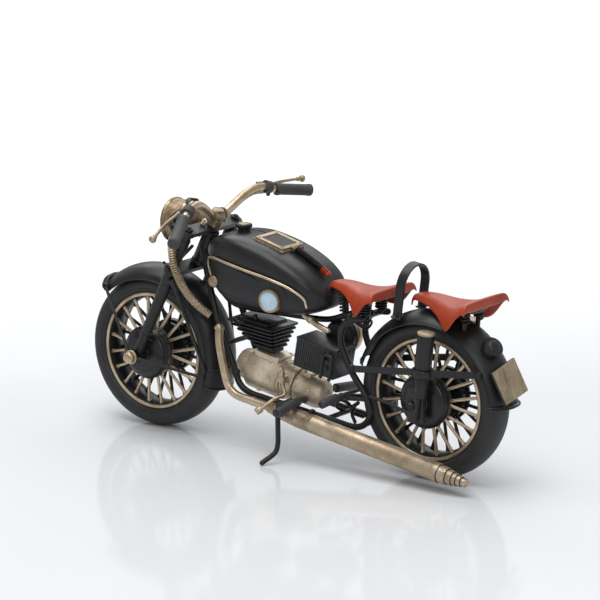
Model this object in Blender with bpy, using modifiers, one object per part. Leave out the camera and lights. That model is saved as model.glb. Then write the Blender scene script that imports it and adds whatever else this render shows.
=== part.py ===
"""Tin model motorcycle with two saddles, about one eighth of full size.

+X points forward, +Y to the rider's left, +Z up. The origin lies on the ground under the
model's middle. Places are given in millimetres from the ground below the rear axle, and
place() turns them into the model's frame in metres.
"""

from math import cos, pi, radians, sin

import bmesh
import bpy
from mathutils import Matrix, Vector

MM = 0.001
GAP = 0.3

# Driving dimensions, in millimetres.
WHEELBASE = 170.0
REAR_AXLE_X = -81.33
TYRE_RADIUS = 40.0
TYRE_STEPS = 36
AXLE_Z = TYRE_RADIUS * cos(pi / TYRE_STEPS)
RIM_RADIUS = 30.4
RIM_WELL_RADIUS = 27.0
AXLE_RADIUS = 1.6
FENDER_HALF_WIDTH = 11.4
FENDER_SKIN = 0.8
FRONT_FENDER_RADIUS = 45.2
REAR_FENDER_RADIUS = 43.6
SPOKE_PAIRS = 10
LEG_Y = 19.4
LEG_RADIUS = 3.2
PLUNGER_Y = 18.6
LOOP_Y = 10.6
TUBE_RADIUS = 1.65
EXHAUST_RADIUS = 2.1
MUFFLER_RADIUS = 4.6

# The steering axis runs down from the top of the stem, raked back from vertical.
RAKE = radians(26.2)
STEM_TOP = Vector((131.5, 0.0, 115.2))
STEM_DOWN = Vector((sin(RAKE), 0.0, -cos(RAKE)))
STEM_AHEAD = Vector((cos(RAKE), 0.0, sin(RAKE)))
LEG_OFFSET = 1.35
STEM_RADIUS = 1.8
HEAD_TOP = 10.2
HEAD_BOTTOM = 30.6
YOKE_THICKNESS = 2.2

# The engine and gearbox slope down towards the rear.
ENGINE_TILT = radians(11.0)
ENGINE_FRONT = Vector((116.0, 0.0, 40.4))
ENGINE_BACK = Vector((-cos(ENGINE_TILT), 0.0, -sin(ENGINE_TILT)))
ENGINE_UP = Vector((-sin(ENGINE_TILT), 0.0, cos(ENGINE_TILT)))

LEFT_RIGHT = (("left", 1), ("right", -1))
SIDEWAYS = Vector((0.0, 1.0, 0.0))
FORWARD = Vector((1.0, 0.0, 0.0))
UP = Vector((0.0, 0.0, 1.0))


def clear_scene():
    for obj in list(bpy.data.objects):
        bpy.data.objects.remove(obj, do_unlink=True)


clear_scene()
MODEL = bpy.data.collections.new("tin_motorcycle")
bpy.context.scene.collection.children.link(MODEL)


def paint(name, colour, roughness, metallic):
    material = bpy.data.materials.new(name)
    material.use_nodes = True
    shader = material.node_tree.nodes["Principled BSDF"]
    shader.inputs["Base Color"].default_value = (*colour, 1.0)
    shader.inputs["Roughness"].default_value = roughness
    shader.inputs["Metallic"].default_value = metallic
    return material


BLACK = paint("black_paint", (0.018, 0.018, 0.019), 0.45, 0.0)
BRASS = paint("brass_paint", (0.56, 0.45, 0.29), 0.38, 0.9)
ORANGE = paint("saddle_paint", (0.62, 0.11, 0.035), 0.5, 0.0)
RUBBER = paint("tyre_rubber", (0.024, 0.024, 0.025), 0.7, 0.0)
GRIP = paint("grip_rubber", (0.035, 0.035, 0.037), 0.65, 0.0)
PALE = paint("badge_enamel", (0.62, 0.60, 0.54), 0.4, 0.0)
LENS = paint("lamp_lens", (0.75, 0.76, 0.74), 0.12, 0.0)


def place(x, y, z):
    return Vector((x + REAR_AXLE_X, y, z)) * MM


def place_point(point):
    return place(point[0], point[1], point[2])


def on_stem(down, y=0.0, ahead=0.0):
    """A point beside the steering axis, measured down from the top of the stem."""
    return STEM_TOP + STEM_DOWN * down + STEM_AHEAD * ahead + SIDEWAYS * y


def on_engine(back, y=0.0, up=0.0):
    """A point beside the crankshaft axis, measured back from the engine's front."""
    return ENGINE_FRONT + ENGINE_BACK * back + ENGINE_UP * up + SIDEWAYS * y


def mirrored(point, side):
    return Vector((point[0], side * point[1], point[2]))


def add_object(name, data, material):
    obj = bpy.data.objects.new(name, data)
    data.materials.append(material)
    MODEL.objects.link(obj)
    return obj


def aim(obj, centre, axis, spin=0.0):
    """Put the object's local Z along axis, with its origin at centre."""
    turn = Vector(axis).to_track_quat("Z", "Y").to_matrix().to_4x4()
    obj.matrix_world = Matrix.Translation(place_point(centre)) @ turn @ Matrix.Rotation(spin, 4, "Z")
    return obj


def from_bmesh(name, bm, material, smooth_angle=35.0):
    mesh = bpy.data.meshes.new(name)
    bmesh.ops.recalc_face_normals(bm, faces=bm.faces)
    bm.to_mesh(mesh)
    bm.free()
    mesh.shade_smooth()
    mesh.set_sharp_from_angle(angle=radians(smooth_angle))
    return add_object(name, mesh, material)


def turned(name, profile, centre, axis, material, steps=28, closed=False, spin=0.0):
    """Turn (radius, height) points about axis. The profile runs down its outer side."""
    mesh = bpy.data.meshes.new(name)
    count = len(profile)
    edges = [(i, i + 1) for i in range(count - 1)]
    if closed:
        edges.append((count - 1, 0))
    mesh.from_pydata([(r * MM, 0.0, h * MM) for r, h in profile], edges, [])
    obj = add_object(name, mesh, material)
    screw = obj.modifiers.new("turn", "SCREW")
    screw.angle = 2 * pi
    screw.steps = steps
    screw.render_steps = steps
    screw.use_merge_vertices = True
    screw.merge_threshold = 0.00001
    screw.use_smooth_shade = True
    return aim(obj, centre, axis, spin)


def ring(name, inner, outer, bottom, top, centre, axis, material, steps=24):
    profile = [(outer, top), (outer, bottom), (inner, bottom), (inner, top)]
    return turned(name, profile, centre, axis, material, steps, closed=True)


def rod(name, start, end, radius, material, sides=14, end_radius=None):
    """A round bar, or a cone when end_radius is given."""
    start = Vector(start)
    end = Vector(end)
    bm = bmesh.new()
    bmesh.ops.create_cone(
        bm,
        cap_ends=True,
        segments=sides,
        radius1=radius * MM,
        radius2=(radius if end_radius is None else end_radius) * MM,
        depth=(end - start).length * MM,
    )
    obj = from_bmesh(name, bm, material)
    return aim(obj, (start + end) / 2, end - start)


def ball(name, centre, radius, material, sides=14):
    bm = bmesh.new()
    bmesh.ops.create_uvsphere(bm, u_segments=sides, v_segments=sides // 2, radius=radius * MM)
    return aim(from_bmesh(name, bm, material), centre, UP)


def box(name, size, centre, material, turn=0.0, bevel=0.0):
    """A box, pitched about Y by turn, which lifts its front when positive."""
    bm = bmesh.new()
    bmesh.ops.create_cube(bm, size=1.0)
    bmesh.ops.scale(bm, vec=Vector(size) * MM, verts=bm.verts)
    obj = from_bmesh(name, bm, material)
    obj.matrix_world = Matrix.Translation(place_point(centre)) @ Matrix.Rotation(-turn, 4, "Y")
    if bevel:
        edge = obj.modifiers.new("edge", "BEVEL")
        edge.width = bevel * MM
        edge.segments = 2
    return obj


def smooth_line(points, per_span=4):
    """Points of a smooth curve that passes through every given point."""
    points = [Vector(p) for p in points]
    ends = [points[0] * 2 - points[1]] + points + [points[-1] * 2 - points[-2]]
    line = []
    for i in range(1, len(ends) - 2):
        a, b, c, d = ends[i - 1 : i + 3]
        for step in range(per_span):
            t = step / per_span
            line.append(
                b
                + (c - a) * (t / 2)
                + (a * 2 - b * 5 + c * 4 - d) * (t * t / 2)
                + (b * 3 - a - c * 3 + d) * (t * t * t / 2)
            )
    line.append(points[-1])
    return line


def tube(name, points, radius, material, per_span=4, resolution=2):
    """A round tube along a smooth curve through the points."""
    line = smooth_line(points, per_span) if per_span > 1 else [Vector(p) for p in points]
    curve = bpy.data.curves.new(name, "CURVE")
    curve.dimensions = "3D"
    curve.bevel_depth = radius * MM
    curve.bevel_resolution = resolution
    curve.use_fill_caps = True
    spline = curve.splines.new("POLY")
    spline.points.add(len(line) - 1)
    for knot, point in zip(spline.points, line):
        knot.co = (*place_point(point), 1.0)
    return add_object(name, curve, material)


def as_mesh(obj):
    """The same piece as a mesh object, with its modifiers applied and its caps welded."""
    bpy.context.view_layer.update()
    graph = bpy.context.evaluated_depsgraph_get()
    mesh = bpy.data.meshes.new_from_object(obj.evaluated_get(graph))
    bm = bmesh.new()
    bm.from_mesh(mesh)
    bmesh.ops.remove_doubles(bm, verts=bm.verts, dist=0.0000002)
    bm.to_mesh(mesh)
    bm.free()
    name = obj.name
    world = obj.matrix_world.copy()
    bpy.data.objects.remove(obj, do_unlink=True)
    solid = bpy.data.objects.new(name, mesh)
    solid.name = name
    MODEL.objects.link(solid)
    solid.matrix_world = world
    return solid


def combine(base, others, operation="UNION"):
    """Join the other pieces to the base, or cut them from it, and keep one mesh."""
    base = as_mesh(base)
    others = [as_mesh(other) for other in others]
    for other in others:
        step = base.modifiers.new("combine", "BOOLEAN")
        step.operation = operation
        step.solver = "EXACT"
        step.object = other
    base = as_mesh(base)
    for other in others:
        bpy.data.objects.remove(other, do_unlink=True)
    base.data.shade_smooth()
    base.data.set_sharp_from_angle(angle=radians(35.0))
    return base


def loft(name, sections, material, smooth_angle=45.0):
    """A closed skin over rings that hold the same number of points."""
    bm = bmesh.new()
    rings = [[bm.verts.new(place_point(p)) for p in section] for section in sections]
    count = len(rings[0])
    for near, far in zip(rings, rings[1:]):
        for i in range(count):
            j = (i + 1) % count
            bm.faces.new((near[i], near[j], far[j], far[i]))
    bm.faces.new(rings[0][::-1])
    bm.faces.new(rings[-1])
    return from_bmesh(name, bm, material, smooth_angle)


def between(value, table):
    """Read a value off a table of (place, value) pairs, in straight steps."""
    for (a, low), (b, high) in zip(table, table[1:]):
        if value <= b:
            return low + (high - low) * (value - a) / (b - a)
    return table[-1][1]


# ---------------------------------------------------------------- wheels


def build_tyre(end, x):
    half = [(31.4, 8.2), (34.4, 8.9), (38.2, 6.6), (TYRE_RADIUS, 1.8)]
    seat = [(RIM_RADIUS + GAP, -7.0), (RIM_RADIUS + GAP, 7.0)]
    profile = half + [(r, -h) for r, h in reversed(half)] + seat
    return turned(
        f"{end}_tyre", profile, (x, 0, AXLE_Z), SIDEWAYS, RUBBER, TYRE_STEPS, True, pi / TYRE_STEPS
    )


def build_rim(end, x):
    well = [(RIM_RADIUS - 1.6, 6.8), (RIM_WELL_RADIUS, 2.6)]
    profile = [(RIM_RADIUS, 7.0), (RIM_RADIUS, -7.0)]
    profile += [(r, -h) for r, h in well] + [(r, h) for r, h in reversed(well)]
    return turned(f"{end}_rim", profile, (x, 0, AXLE_Z), SIDEWAYS, BRASS, TYRE_STEPS, True)


def build_hub(end, x):
    """The hub's drums and barrel with the laced spokes, all one soldered piece."""
    bore = AXLE_RADIUS + 0.2
    half = [(6.0, 8.2), (12.8, 8.2), (12.8, 4.2), (5.0, 3.6)]
    profile = half + [(r, -h) for r, h in reversed(half)] + [(bore, -8.2), (bore, 8.2)]
    hub = turned(f"{end}_hub_and_spokes", profile, (x, 0, AXLE_Z), SIDEWAYS, BRASS, 24, True)
    spokes = []
    for side in (1, -1):
        for pair in range(SPOKE_PAIRS):
            middle = 2 * pi * (pair + (0.0 if side > 0 else 0.5)) / SPOKE_PAIRS
            for lean in (1, -1):
                inner = middle + lean * radians(4.4)
                outer = middle + lean * radians(9.5)
                start = (x + 12.2 * cos(inner), side * 6.2, AXLE_Z + 12.2 * sin(inner))
                reach = RIM_WELL_RADIUS - GAP - 0.1
                end_point = (x + reach * cos(outer), side * 2.0, AXLE_Z + reach * sin(outer))
                spokes.append(rod("spoke", start, end_point, 0.8, BRASS, 4))
    return combine(hub, spokes)


def build_axle(end, x, half_length, nut_radius, material):
    """The axle bolt with its six-sided nut at each end."""
    tip = Vector((x, half_length + 1.0, AXLE_Z))
    axle = rod(f"{end}_axle", mirrored(tip, -1), tip, AXLE_RADIUS, material, 16)
    profile = [(0.0, 3.4), (1.8, 3.2), (nut_radius, 2.4), (nut_radius, 0.0), (0.0, 0.0)]
    nuts = []
    for side in (1, -1):
        centre = (x, side * half_length, AXLE_Z)
        nuts.append(turned("nut", profile, centre, SIDEWAYS * side, material, 6))
    return combine(axle, nuts)


def build_brake_plate(end, side_name, side, x, depth):
    """The domed cover that closes a drum; it stands still while the wheel turns."""
    bore = AXLE_RADIUS + GAP
    profile = [(bore, depth), (5.2, depth - 0.2), (10.4, depth - 1.6), (12.8, depth - 3.0)]
    profile += [(13.7, depth - 4.4), (13.7, 0.0), (bore, 0.0)]
    name = f"{end}_brake_plate_{side_name}"
    return turned(name, profile, (x, side * 8.5, AXLE_Z), SIDEWAYS * side, BLACK, 18, True)


def build_fender(name, x, radius, start, end, material, steps):
    """A valanced mudguard: an arched section swept round the axle, then thickened."""
    half = [(37.6, FENDER_HALF_WIDTH), (radius - 5.2, 11.1), (radius - 3.6, 9.8)]
    half += [(radius - 1.8, 7.2), (radius - 0.6, 4.0)]
    profile = half + [(radius, 0.0)] + [(r, -h) for r, h in reversed(half)]
    mesh = bpy.data.meshes.new(name)
    edges = [(i, i + 1) for i in range(len(profile) - 1)]
    points = [(r * MM, 0.0, h * MM) for r, h in profile]
    mesh.from_pydata(points, edges, [])
    obj = add_object(name, mesh, material)
    screw = obj.modifiers.new("sweep", "SCREW")
    screw.angle = radians(end - start)
    screw.steps = steps
    screw.render_steps = steps
    screw.use_smooth_shade = True
    skin = obj.modifiers.new("skin", "SOLIDIFY")
    skin.thickness = FENDER_SKIN * MM
    skin.offset = -1.0
    turn = Matrix.Rotation(-pi / 2, 4, "X") @ Matrix.Rotation(-radians(end), 4, "Z")
    obj.matrix_world = Matrix.Translation(place(x, 0, AXLE_Z)) @ turn
    return obj


# ---------------------------------------------------------------- steering


def build_fork_slider(name, side):
    """A fork leg below the lower yoke, with the lug that takes the axle."""
    foot = Vector((WHEELBASE, side * LEG_Y, AXLE_Z))
    top = on_stem(HEAD_BOTTOM + YOKE_THICKNESS + 2 * GAP, side * LEG_Y, LEG_OFFSET)
    slider = rod(f"fork_slider_{name}", foot, top, LEG_RADIUS - 0.6, BLACK, 16, LEG_RADIUS)
    lug_inner = foot - SIDEWAYS * (side * 3.1)
    lug_outer = foot + SIDEWAYS * (side * 2.0)
    slider = combine(slider, [rod("lug", lug_inner, lug_outer, 4.0, BLACK, 20)])
    reach = SIDEWAYS * 8.0
    hole = rod("hole", foot - reach, foot + reach, AXLE_RADIUS + GAP, BLACK, 16)
    return combine(slider, [hole], "DIFFERENCE")


def yoke_plate(name, down, depth):
    """A flat yoke across both legs, with round ends."""
    middle = on_stem(down, 0.0, LEG_OFFSET)
    plate = box(name, (depth, 2 * LEG_Y, YOKE_THICKNESS), middle, BLACK, RAKE)
    ends = []
    for side in (1, -1):
        centre = on_stem(down, side * LEG_Y, LEG_OFFSET)
        reach = STEM_DOWN * (YOKE_THICKNESS / 2)
        ends.append(rod("end", centre - reach, centre + reach, depth / 2 + 0.4, BLACK, 12))
    return combine(plate, ends)


def build_fork_crown():
    """Both yokes with the stem and the upper fork tubes between them, and the lamp's ears."""
    upper = HEAD_TOP - GAP - YOKE_THICKNESS / 2
    lower = HEAD_BOTTOM + GAP + YOKE_THICKNESS / 2
    joined = [yoke_plate("lower_yoke", lower, 8.0)]
    joined.append(rod("stem", on_stem(upper), on_stem(lower), STEM_RADIUS, BLACK, 16))
    for side in (1, -1):
        top = on_stem(upper, side * LEG_Y, LEG_OFFSET)
        bottom = on_stem(lower, side * LEG_Y, LEG_OFFSET)
        joined.append(rod("fork_tube", top, bottom, LEG_RADIUS - 0.5, BLACK, 12))
        root = on_stem(12.5, side * LEG_Y, LEG_OFFSET + 1.5)
        ear = [root, (146.0, side * 15.6, 109.4), (151.5, side * 12.4, 109.2)]
        joined.append(tube("lamp_ear", ear, 1.0, BLACK, 1, 1))
    return combine(yoke_plate("fork_crown", upper, 7.4), joined)


GRIP_INNER = Vector((124.4, 38.2, 120.7))
GRIP_OUTER = Vector((115.9, 57.2, 115.3))
LEVER_PIVOT = Vector((129.4, 35.6, 122.4))
LEVER_TIP = Vector((124.9, 62.0, 118.6))
BAR_DROP = 5.2
BAR_DROP_AT = 60.0


def on_bar(point, side):
    """A point on one half of the bar, whose left half droops and right half rises outwards."""
    drop = BAR_DROP * (point[1] / BAR_DROP_AT) ** 2.4
    return Vector((point[0], side * point[1], point[2] - side * drop))


def build_handlebar():
    """The bent bar, with the collars and ears that the hand levers turn on."""
    half = [(132.2, 4.9, 114.6), (130.2, 11.7, 118.8), (128.6, 18.5, 122.6), (127.2, 24.5, 124.2)]
    half += [(125.8, 31.5, 123.4), (124.6, 37.4, 120.9)]
    right = [on_bar(p, -1) for p in reversed(half)]
    left = [on_bar(p, 1) for p in half]
    bar = tube("handlebar", right + [(132.6, 0, 113.4)] + left, 2.0, BRASS, 2, 2)
    joined = []
    for side in (1, -1):
        middle = on_bar((125.9, 31.2, 123.5), side)
        along = (on_bar(half[-1], side) - on_bar(half[-2], side)).normalized()
        joined.append(rod("collar", middle - along * 1.8, middle + along * 1.8, 3.4, BLACK, 16))
        ear_end = on_bar(LEVER_PIVOT, side) - SIDEWAYS * (side * 3.0)
        joined.append(rod("ear", middle, ear_end, 1.0, BLACK, 10))
    return combine(bar, joined)


def build_bar_clamp():
    """The brass clamp that holds the bar above the upper yoke."""
    bottom = on_stem(HEAD_TOP - YOKE_THICKNESS - 2 * GAP)
    clamp = rod("bar_clamp", on_stem(2.6), bottom, 3.8, BRASS, 16)
    seat = rod("seat", (132.6, -8, 113.4), (132.6, 8, 113.4), 2.35, BRASS, 16)
    return combine(clamp, [seat], "DIFFERENCE")


def build_grip(name, side):
    return rod(f"grip_{name}", on_bar(GRIP_INNER, side), on_bar(GRIP_OUTER, side), 3.2, GRIP, 18)


def build_lever(label, side):
    start = on_bar(LEVER_PIVOT, side)
    tip = on_bar(LEVER_TIP, side)
    bow = (start + tip) / 2 + Vector((0.9, 0.0, 0.3))
    blade = tube(f"{label}_lever", [start, bow, tip], 0.95, BRASS, 3, 1)
    knob = ball("knob", tip, 1.9, BRASS, 10)
    eye = ball("eye", start, 1.35, BRASS, 8)
    return combine(blade, [knob, eye])


LAMP_CENTRE = Vector((154.2, 0.0, 108.8))


def build_headlamp():
    inner = [(0.0, -9.0), (5.0, -7.6), (9.2, -2.2), (10.0, 4.2)]
    outer = [(10.2, 6.2), (11.6, 5.4), (11.0, 4.0), (10.6, -1.4), (8.0, -6.4), (4.4, -9.2), (0.0, -10.0)]
    bowl = turned("headlamp_bowl", inner + outer, LAMP_CENTRE, FORWARD, BRASS, 24)
    lens_profile = [(0.0, 5.4), (7.0, 4.9), (9.4, 3.9), (9.4, 2.4), (0.0, 2.4)]
    return [bowl, turned("headlamp_lens", lens_profile, LAMP_CENTRE, FORWARD, LENS, 20)]


def build_front_stays(name, side):
    """The mudguard's wire stays on one side, soldered to an eye that the axle passes through."""
    fender_y = side * (FENDER_HALF_WIDTH + 1.2)
    eye_y = side * (LEG_Y + 3.8)
    rear_end = Vector((133.0, fender_y, 32.2))
    brace_end = Vector((131.6, fender_y, 36.4))
    eye = rod(
        f"fender_stays_{name}",
        (WHEELBASE, side * (LEG_Y + 3.1), AXLE_Z),
        (WHEELBASE, side * (LEG_Y + 4.3), AXLE_Z),
        3.4,
        BLACK,
        18,
    )
    wires = [
        tube("front_wire", [(172.2, eye_y, 41.4), (195.2, fender_y, 70.6)], 0.8, BLACK, 1),
        tube("lower_wire", [(167.6, eye_y, 39.4), rear_end], 0.8, BLACK, 1),
        tube("link", [rear_end, brace_end], 0.8, BLACK, 1),
        tube("brace", [(143.8, side * (LEG_Y + 2.6), 81.0), brace_end], 0.9, BLACK, 1),
    ]
    reach = SIDEWAYS * 30.0
    axis_point = Vector((WHEELBASE, 0.0, AXLE_Z))
    hole = rod("hole", axis_point - reach, axis_point + reach, AXLE_RADIUS + GAP, BLACK, 16)
    return combine(combine(eye, wires), [hole], "DIFFERENCE")


HOSE_ROUTE = (
    (148.4, 12.4, 104.0),
    (146.0, 19.6, 103.4),
    (142.4, 25.0, 99.4),
    (140.4, 26.3, 92.7),
    (138.7, 23.4, 83.8),
    (136.6, 19.0, 75.5),
    (132.4, 15.2, 69.2),
    (127.6, 12.9, 65.4),
)


# ---------------------------------------------------------------- frame


FRAME_LOOP = (
    (139.8, 2.6, 95.8),
    (135.8, 5.4, 88.2),
    (131.8, 7.8, 80.0),
    (127.2, 10.0, 70.5),
    (124.2, LOOP_Y, 62.8),
    (114.8, LOOP_Y, 41.2),
    (111.2, LOOP_Y, 32.6),
    (105.6, LOOP_Y, 28.6),
    (96.0, LOOP_Y, 27.0),
    (74.0, LOOP_Y, 24.4),
    (53.0, LOOP_Y, 21.8),
    (40.0, LOOP_Y, 20.6),
    (33.2, LOOP_Y, 24.0),
    (31.0, LOOP_Y, 30.5),
    (34.6, LOOP_Y, 38.5),
    (41.4, LOOP_Y, 47.0),
    (47.0, LOOP_Y, 57.0),
    (49.0, LOOP_Y, 64.5),
    (46.6, LOOP_Y, 71.4),
    (41.0, LOOP_Y, 74.6),
    (35.6, LOOP_Y, 75.4),
)
BACKBONE = (
    (139.6, 0.0, 95.6),
    (134.6, 0.0, 86.0),
    (130.4, 0.0, 76.6),
    (123.0, 0.0, 70.4),
    (112.0, 0.0, 68.9),
    (90.0, 0.0, 68.9),
    (66.0, 0.0, 69.4),
    (54.0, 0.0, 73.0),
    (46.0, 0.0, 76.0),
    (38.0, 0.0, 76.6),
)


def build_frame():
    """The soldered tube frame: head, backbone, both side loops and what they carry."""
    joined = []
    for side in (1, -1):
        joined.append(tube("loop", [mirrored(p, side) for p in FRAME_LOOP], TUBE_RADIUS, BLACK, 1, 1))
        joined.append(rod("spring", (37.4, side * 7.0, 75.0), (36.3, side * 6.6, 84.2), 2.5, BLACK, 12))
    joined.append(tube("backbone", BACKBONE, 1.5, BLACK, 1))
    for x, z in ((119.3, 51.6), (57.0, 22.3), (38.5, 20.75), (38.4, 75.2)):
        joined.append(rod("cross_tube", (x, -LOOP_Y, z), (x, LOOP_Y, z), 1.3, BLACK, 10))
    joined.append(rod("nose_spring", (54.2, 0, 72.4), (54.6, 0, 87.4), 2.0, BLACK, 10))
    joined.append(box("stand_arm", (4.4, 12.6, 1.6), (77.0, 17.1, 28.6), BLACK))
    joined.append(box("stand_post", (3.2, 2.0, 4.6), (77.0, LOOP_Y + 0.6, 26.6), BLACK))
    joined.append(box("stand_ear", (4.0, 1.0, 6.2), (77.0, 23.1, 26.1), BLACK))
    middle = (HEAD_TOP + HEAD_BOTTOM) / 2
    half_length = (HEAD_BOTTOM - HEAD_TOP) / 2 - GAP
    head_top = on_stem(middle - half_length)
    head_bottom = on_stem(middle + half_length)
    frame = combine(rod("main_frame", head_top, head_bottom, 3.9, BLACK, 24), joined)
    bore = rod("bore", on_stem(-10.0), on_stem(46.0), STEM_RADIUS + GAP, BLACK, 24)
    return combine(frame, [bore], "DIFFERENCE")


def build_plunger(name, side):
    """A rear spring tube with its cap, and the foot that carries the axle."""
    top = Vector((-6.6, side * PLUNGER_Y, 75.6))
    joint = Vector((-4.4, side * PLUNGER_Y, 54.6))
    foot = Vector((-3.4, side * PLUNGER_Y, 44.4))
    tube_piece = rod(f"plunger_{name}", top, joint, 4.2, BLACK, 18)
    lower = rod("lower", joint + UP, foot, 3.5, BLACK, 16)
    plate_y = side * (PLUNGER_Y - 0.6)
    plate = box("plate", (9.6, 2.8, 17.0), (-1.0, plate_y, 39.4), BLACK, 0.0, 0.8)
    body = combine(tube_piece, [lower, plate])
    inner = (0, side * 12, AXLE_Z)
    hole = rod("hole", inner, (0, side * 26, AXLE_Z), AXLE_RADIUS + GAP, BLACK, 16)
    return combine(body, [hole], "DIFFERENCE")


def flat_bar(name, start, end, height, thickness, material):
    """A flat strip on edge between two points."""
    start = Vector(start)
    end = Vector(end)
    bm = bmesh.new()
    bmesh.ops.create_cube(bm, size=1.0)
    size = Vector((thickness, height, (end - start).length)) * MM
    bmesh.ops.scale(bm, vec=size, verts=bm.verts)
    return aim(from_bmesh(name, bm, material), (start + end) / 2, end - start)


def build_side_strap(name, side):
    """The flat stay along one side, clamped round the plunger tube."""
    y = side * PLUNGER_Y
    clamp = ring(f"side_strap_{name}", 4.5, 5.3, -1.7, 1.7, (-4.6, y, 56.4), (-0.105, 0, 1.0), BLACK)
    front = flat_bar("front", (41.0, side * 13.4, 50.6), (0.3, y, 56.0), 3.2, 1.0, BLACK)
    rear = flat_bar("rear", (-9.4, y, 56.6), (-33.0, side * 12.6, 57.8), 3.2, 1.0, BLACK)
    return combine(clamp, [front, rear])


# ---------------------------------------------------------------- tank


TANK_X = (58.5, 60.5, 65.0, 72.0, 80.0, 88.0, 98.0, 108.0, 118.0, 125.0, 130.0, 132.4)
TANK_TOP = ((58.5, 82.6), (60.5, 85.2), (63, 88.0), (66, 91.0), (73, 96.2), (83, 101.1), (92.6, 104.6))
TANK_TOP += ((107, 108.0), (118, 108.2), (125, 106.6), (130, 103.4), (132.4, 98.5))
TANK_BOTTOM = ((58.5, 78.5), (62, 75.2), (71.5, 71.9), (91, 70.9), (112, 71.1), (118, 72.8))
TANK_BOTTOM += ((123, 75.6), (127, 79.8), (130, 84.6), (132.4, 90.0))
TANK_WIDTH = ((58.5, 6.0), (60.5, 10.4), (65, 15.0), (72, 17.4), (82, 18.8), (94, 19.2))
TANK_WIDTH += ((110, 18.8), (121, 16.2), (128, 12.6), (132.4, 7.0))
SQUARENESS = 3.6
SHOULDER_SQUARENESS = 5.5
SHOULDER_BULGE = 1.2
TANK_WALL = 1.6


def tank_section(x, count=24, wall=0.0):
    """A rounded section of the tank, as a superellipse, drawn in by the wall's thickness."""
    top = between(x, TANK_TOP) - wall
    bottom = between(x, TANK_BOTTOM) + wall
    width = between(x, TANK_WIDTH) - wall
    points = []
    for i in range(count):
        angle = 2 * pi * i / count
        power = SHOULDER_SQUARENESS if sin(angle) > 0 else SQUARENESS
        across = abs(cos(angle)) ** (2 / power) * (1 if cos(angle) >= 0 else -1)
        rise = abs(sin(angle)) ** (2 / power) * (1 if sin(angle) >= 0 else -1)
        half_width = width + SHOULDER_BULGE * min(1.0, max(0.0, 4 * rise))
        points.append((x, half_width * across, (top + bottom) / 2 + rise * (top - bottom) / 2))
    return points


TRAY_TURN = radians(15.0)
TRAY_MIDDLE = Vector((94.0, 0.0, 105.4))


def build_tank():
    """A tin shell with a recess for the tool tray, and a slot above the backbone tube."""
    shell = loft("fuel_tank", [tank_section(x) for x in TANK_X], BLACK, 60.0)
    hollow = loft("hollow", [tank_section(x, 12, TANK_WALL) for x in TANK_X[3:10:2]], BLACK)
    slot = box("slot", (28.0, 6.0, 12.0), (98.0, 0, 72.0), BLACK)
    recess = box("recess", (17.9, 17.7, 6.0), TRAY_MIDDLE + UP * 1.9, BLACK, TRAY_TURN)
    return combine(combine(shell, [hollow], "DIFFERENCE"), [slot, recess], "DIFFERENCE")


def tank_side(x, z):
    """The tank's half width at a place on its side."""
    top = between(x, TANK_TOP)
    bottom = between(x, TANK_BOTTOM)
    rise = max(-1.0, min(1.0, (z - (top + bottom) / 2) / ((top - bottom) / 2)))
    power = SHOULDER_SQUARENESS if rise > 0 else SQUARENESS
    half_width = between(x, TANK_WIDTH) + SHOULDER_BULGE * min(1.0, max(0.0, 4 * rise))
    return half_width * (1 - abs(rise) ** power) ** (1 / power)


TRIM_LINE = ((126.6, 81.6), (129.2, 89.7), (127.6, 94.6), (122.7, 96.4), (112.1, 95.5), (99.9, 93.4))
TRIM_LINE += ((87.6, 91.3), (78.0, 88.9), (71.8, 86.4), (67.2, 82.4), (66.0, 78.2))


def build_tank_fittings():
    pieces = []
    for name, side in LEFT_RIGHT:
        line = [(x, side * (tank_side(x, z) + 1.05), z) for x, z in TRIM_LINE]
        pieces.append(tube(f"tank_trim_{name}", line, 0.5, BRASS, 2, 1))
        badge_y = tank_side(85.6, 79.6) + 0.9
        badge_profile = [(0.0, 1.4), (4.6, 1.3), (5.6, 0.9), (5.6, 0.0), (0.0, 0.0)]
        lean = Vector((-0.10, side, -0.05))
        badge_centre = (85.6, side * badge_y, 79.6)
        pieces.append(turned(f"badge_{name}", badge_profile, badge_centre, lean, PALE, 24))
    cap_profile = [(0.0, 3.3), (3.6, 3.3), (3.9, 2.9), (3.9, 1.5), (3.3, 1.3), (3.3, 0.0), (0.0, 0.0)]
    pieces.append(turned("filler_cap", cap_profile, (115.8, 0, 108.6), UP, BLACK, 20))
    tray = box("tool_tray", (17.2, 17.0, 1.5), TRAY_MIDDLE, BRASS, TRAY_TURN)
    well_middle = TRAY_MIDDLE + Vector((-sin(TRAY_TURN), 0.0, cos(TRAY_TURN))) * 3.0
    well = box("well", (13.6, 13.6, 5.2), well_middle, BRASS, TRAY_TURN)
    pieces.append(combine(tray, [well], "DIFFERENCE"))
    spine = [(83.2, 0, 103.0), (78.0, 0, 100.4), (71.0, 0, 96.7), (64.5, 0, 92.6)]
    pieces.append(tube("tank_spine_coil", spine, 1.1, BLACK, 3))
    return pieces


# ---------------------------------------------------------------- saddles


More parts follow.
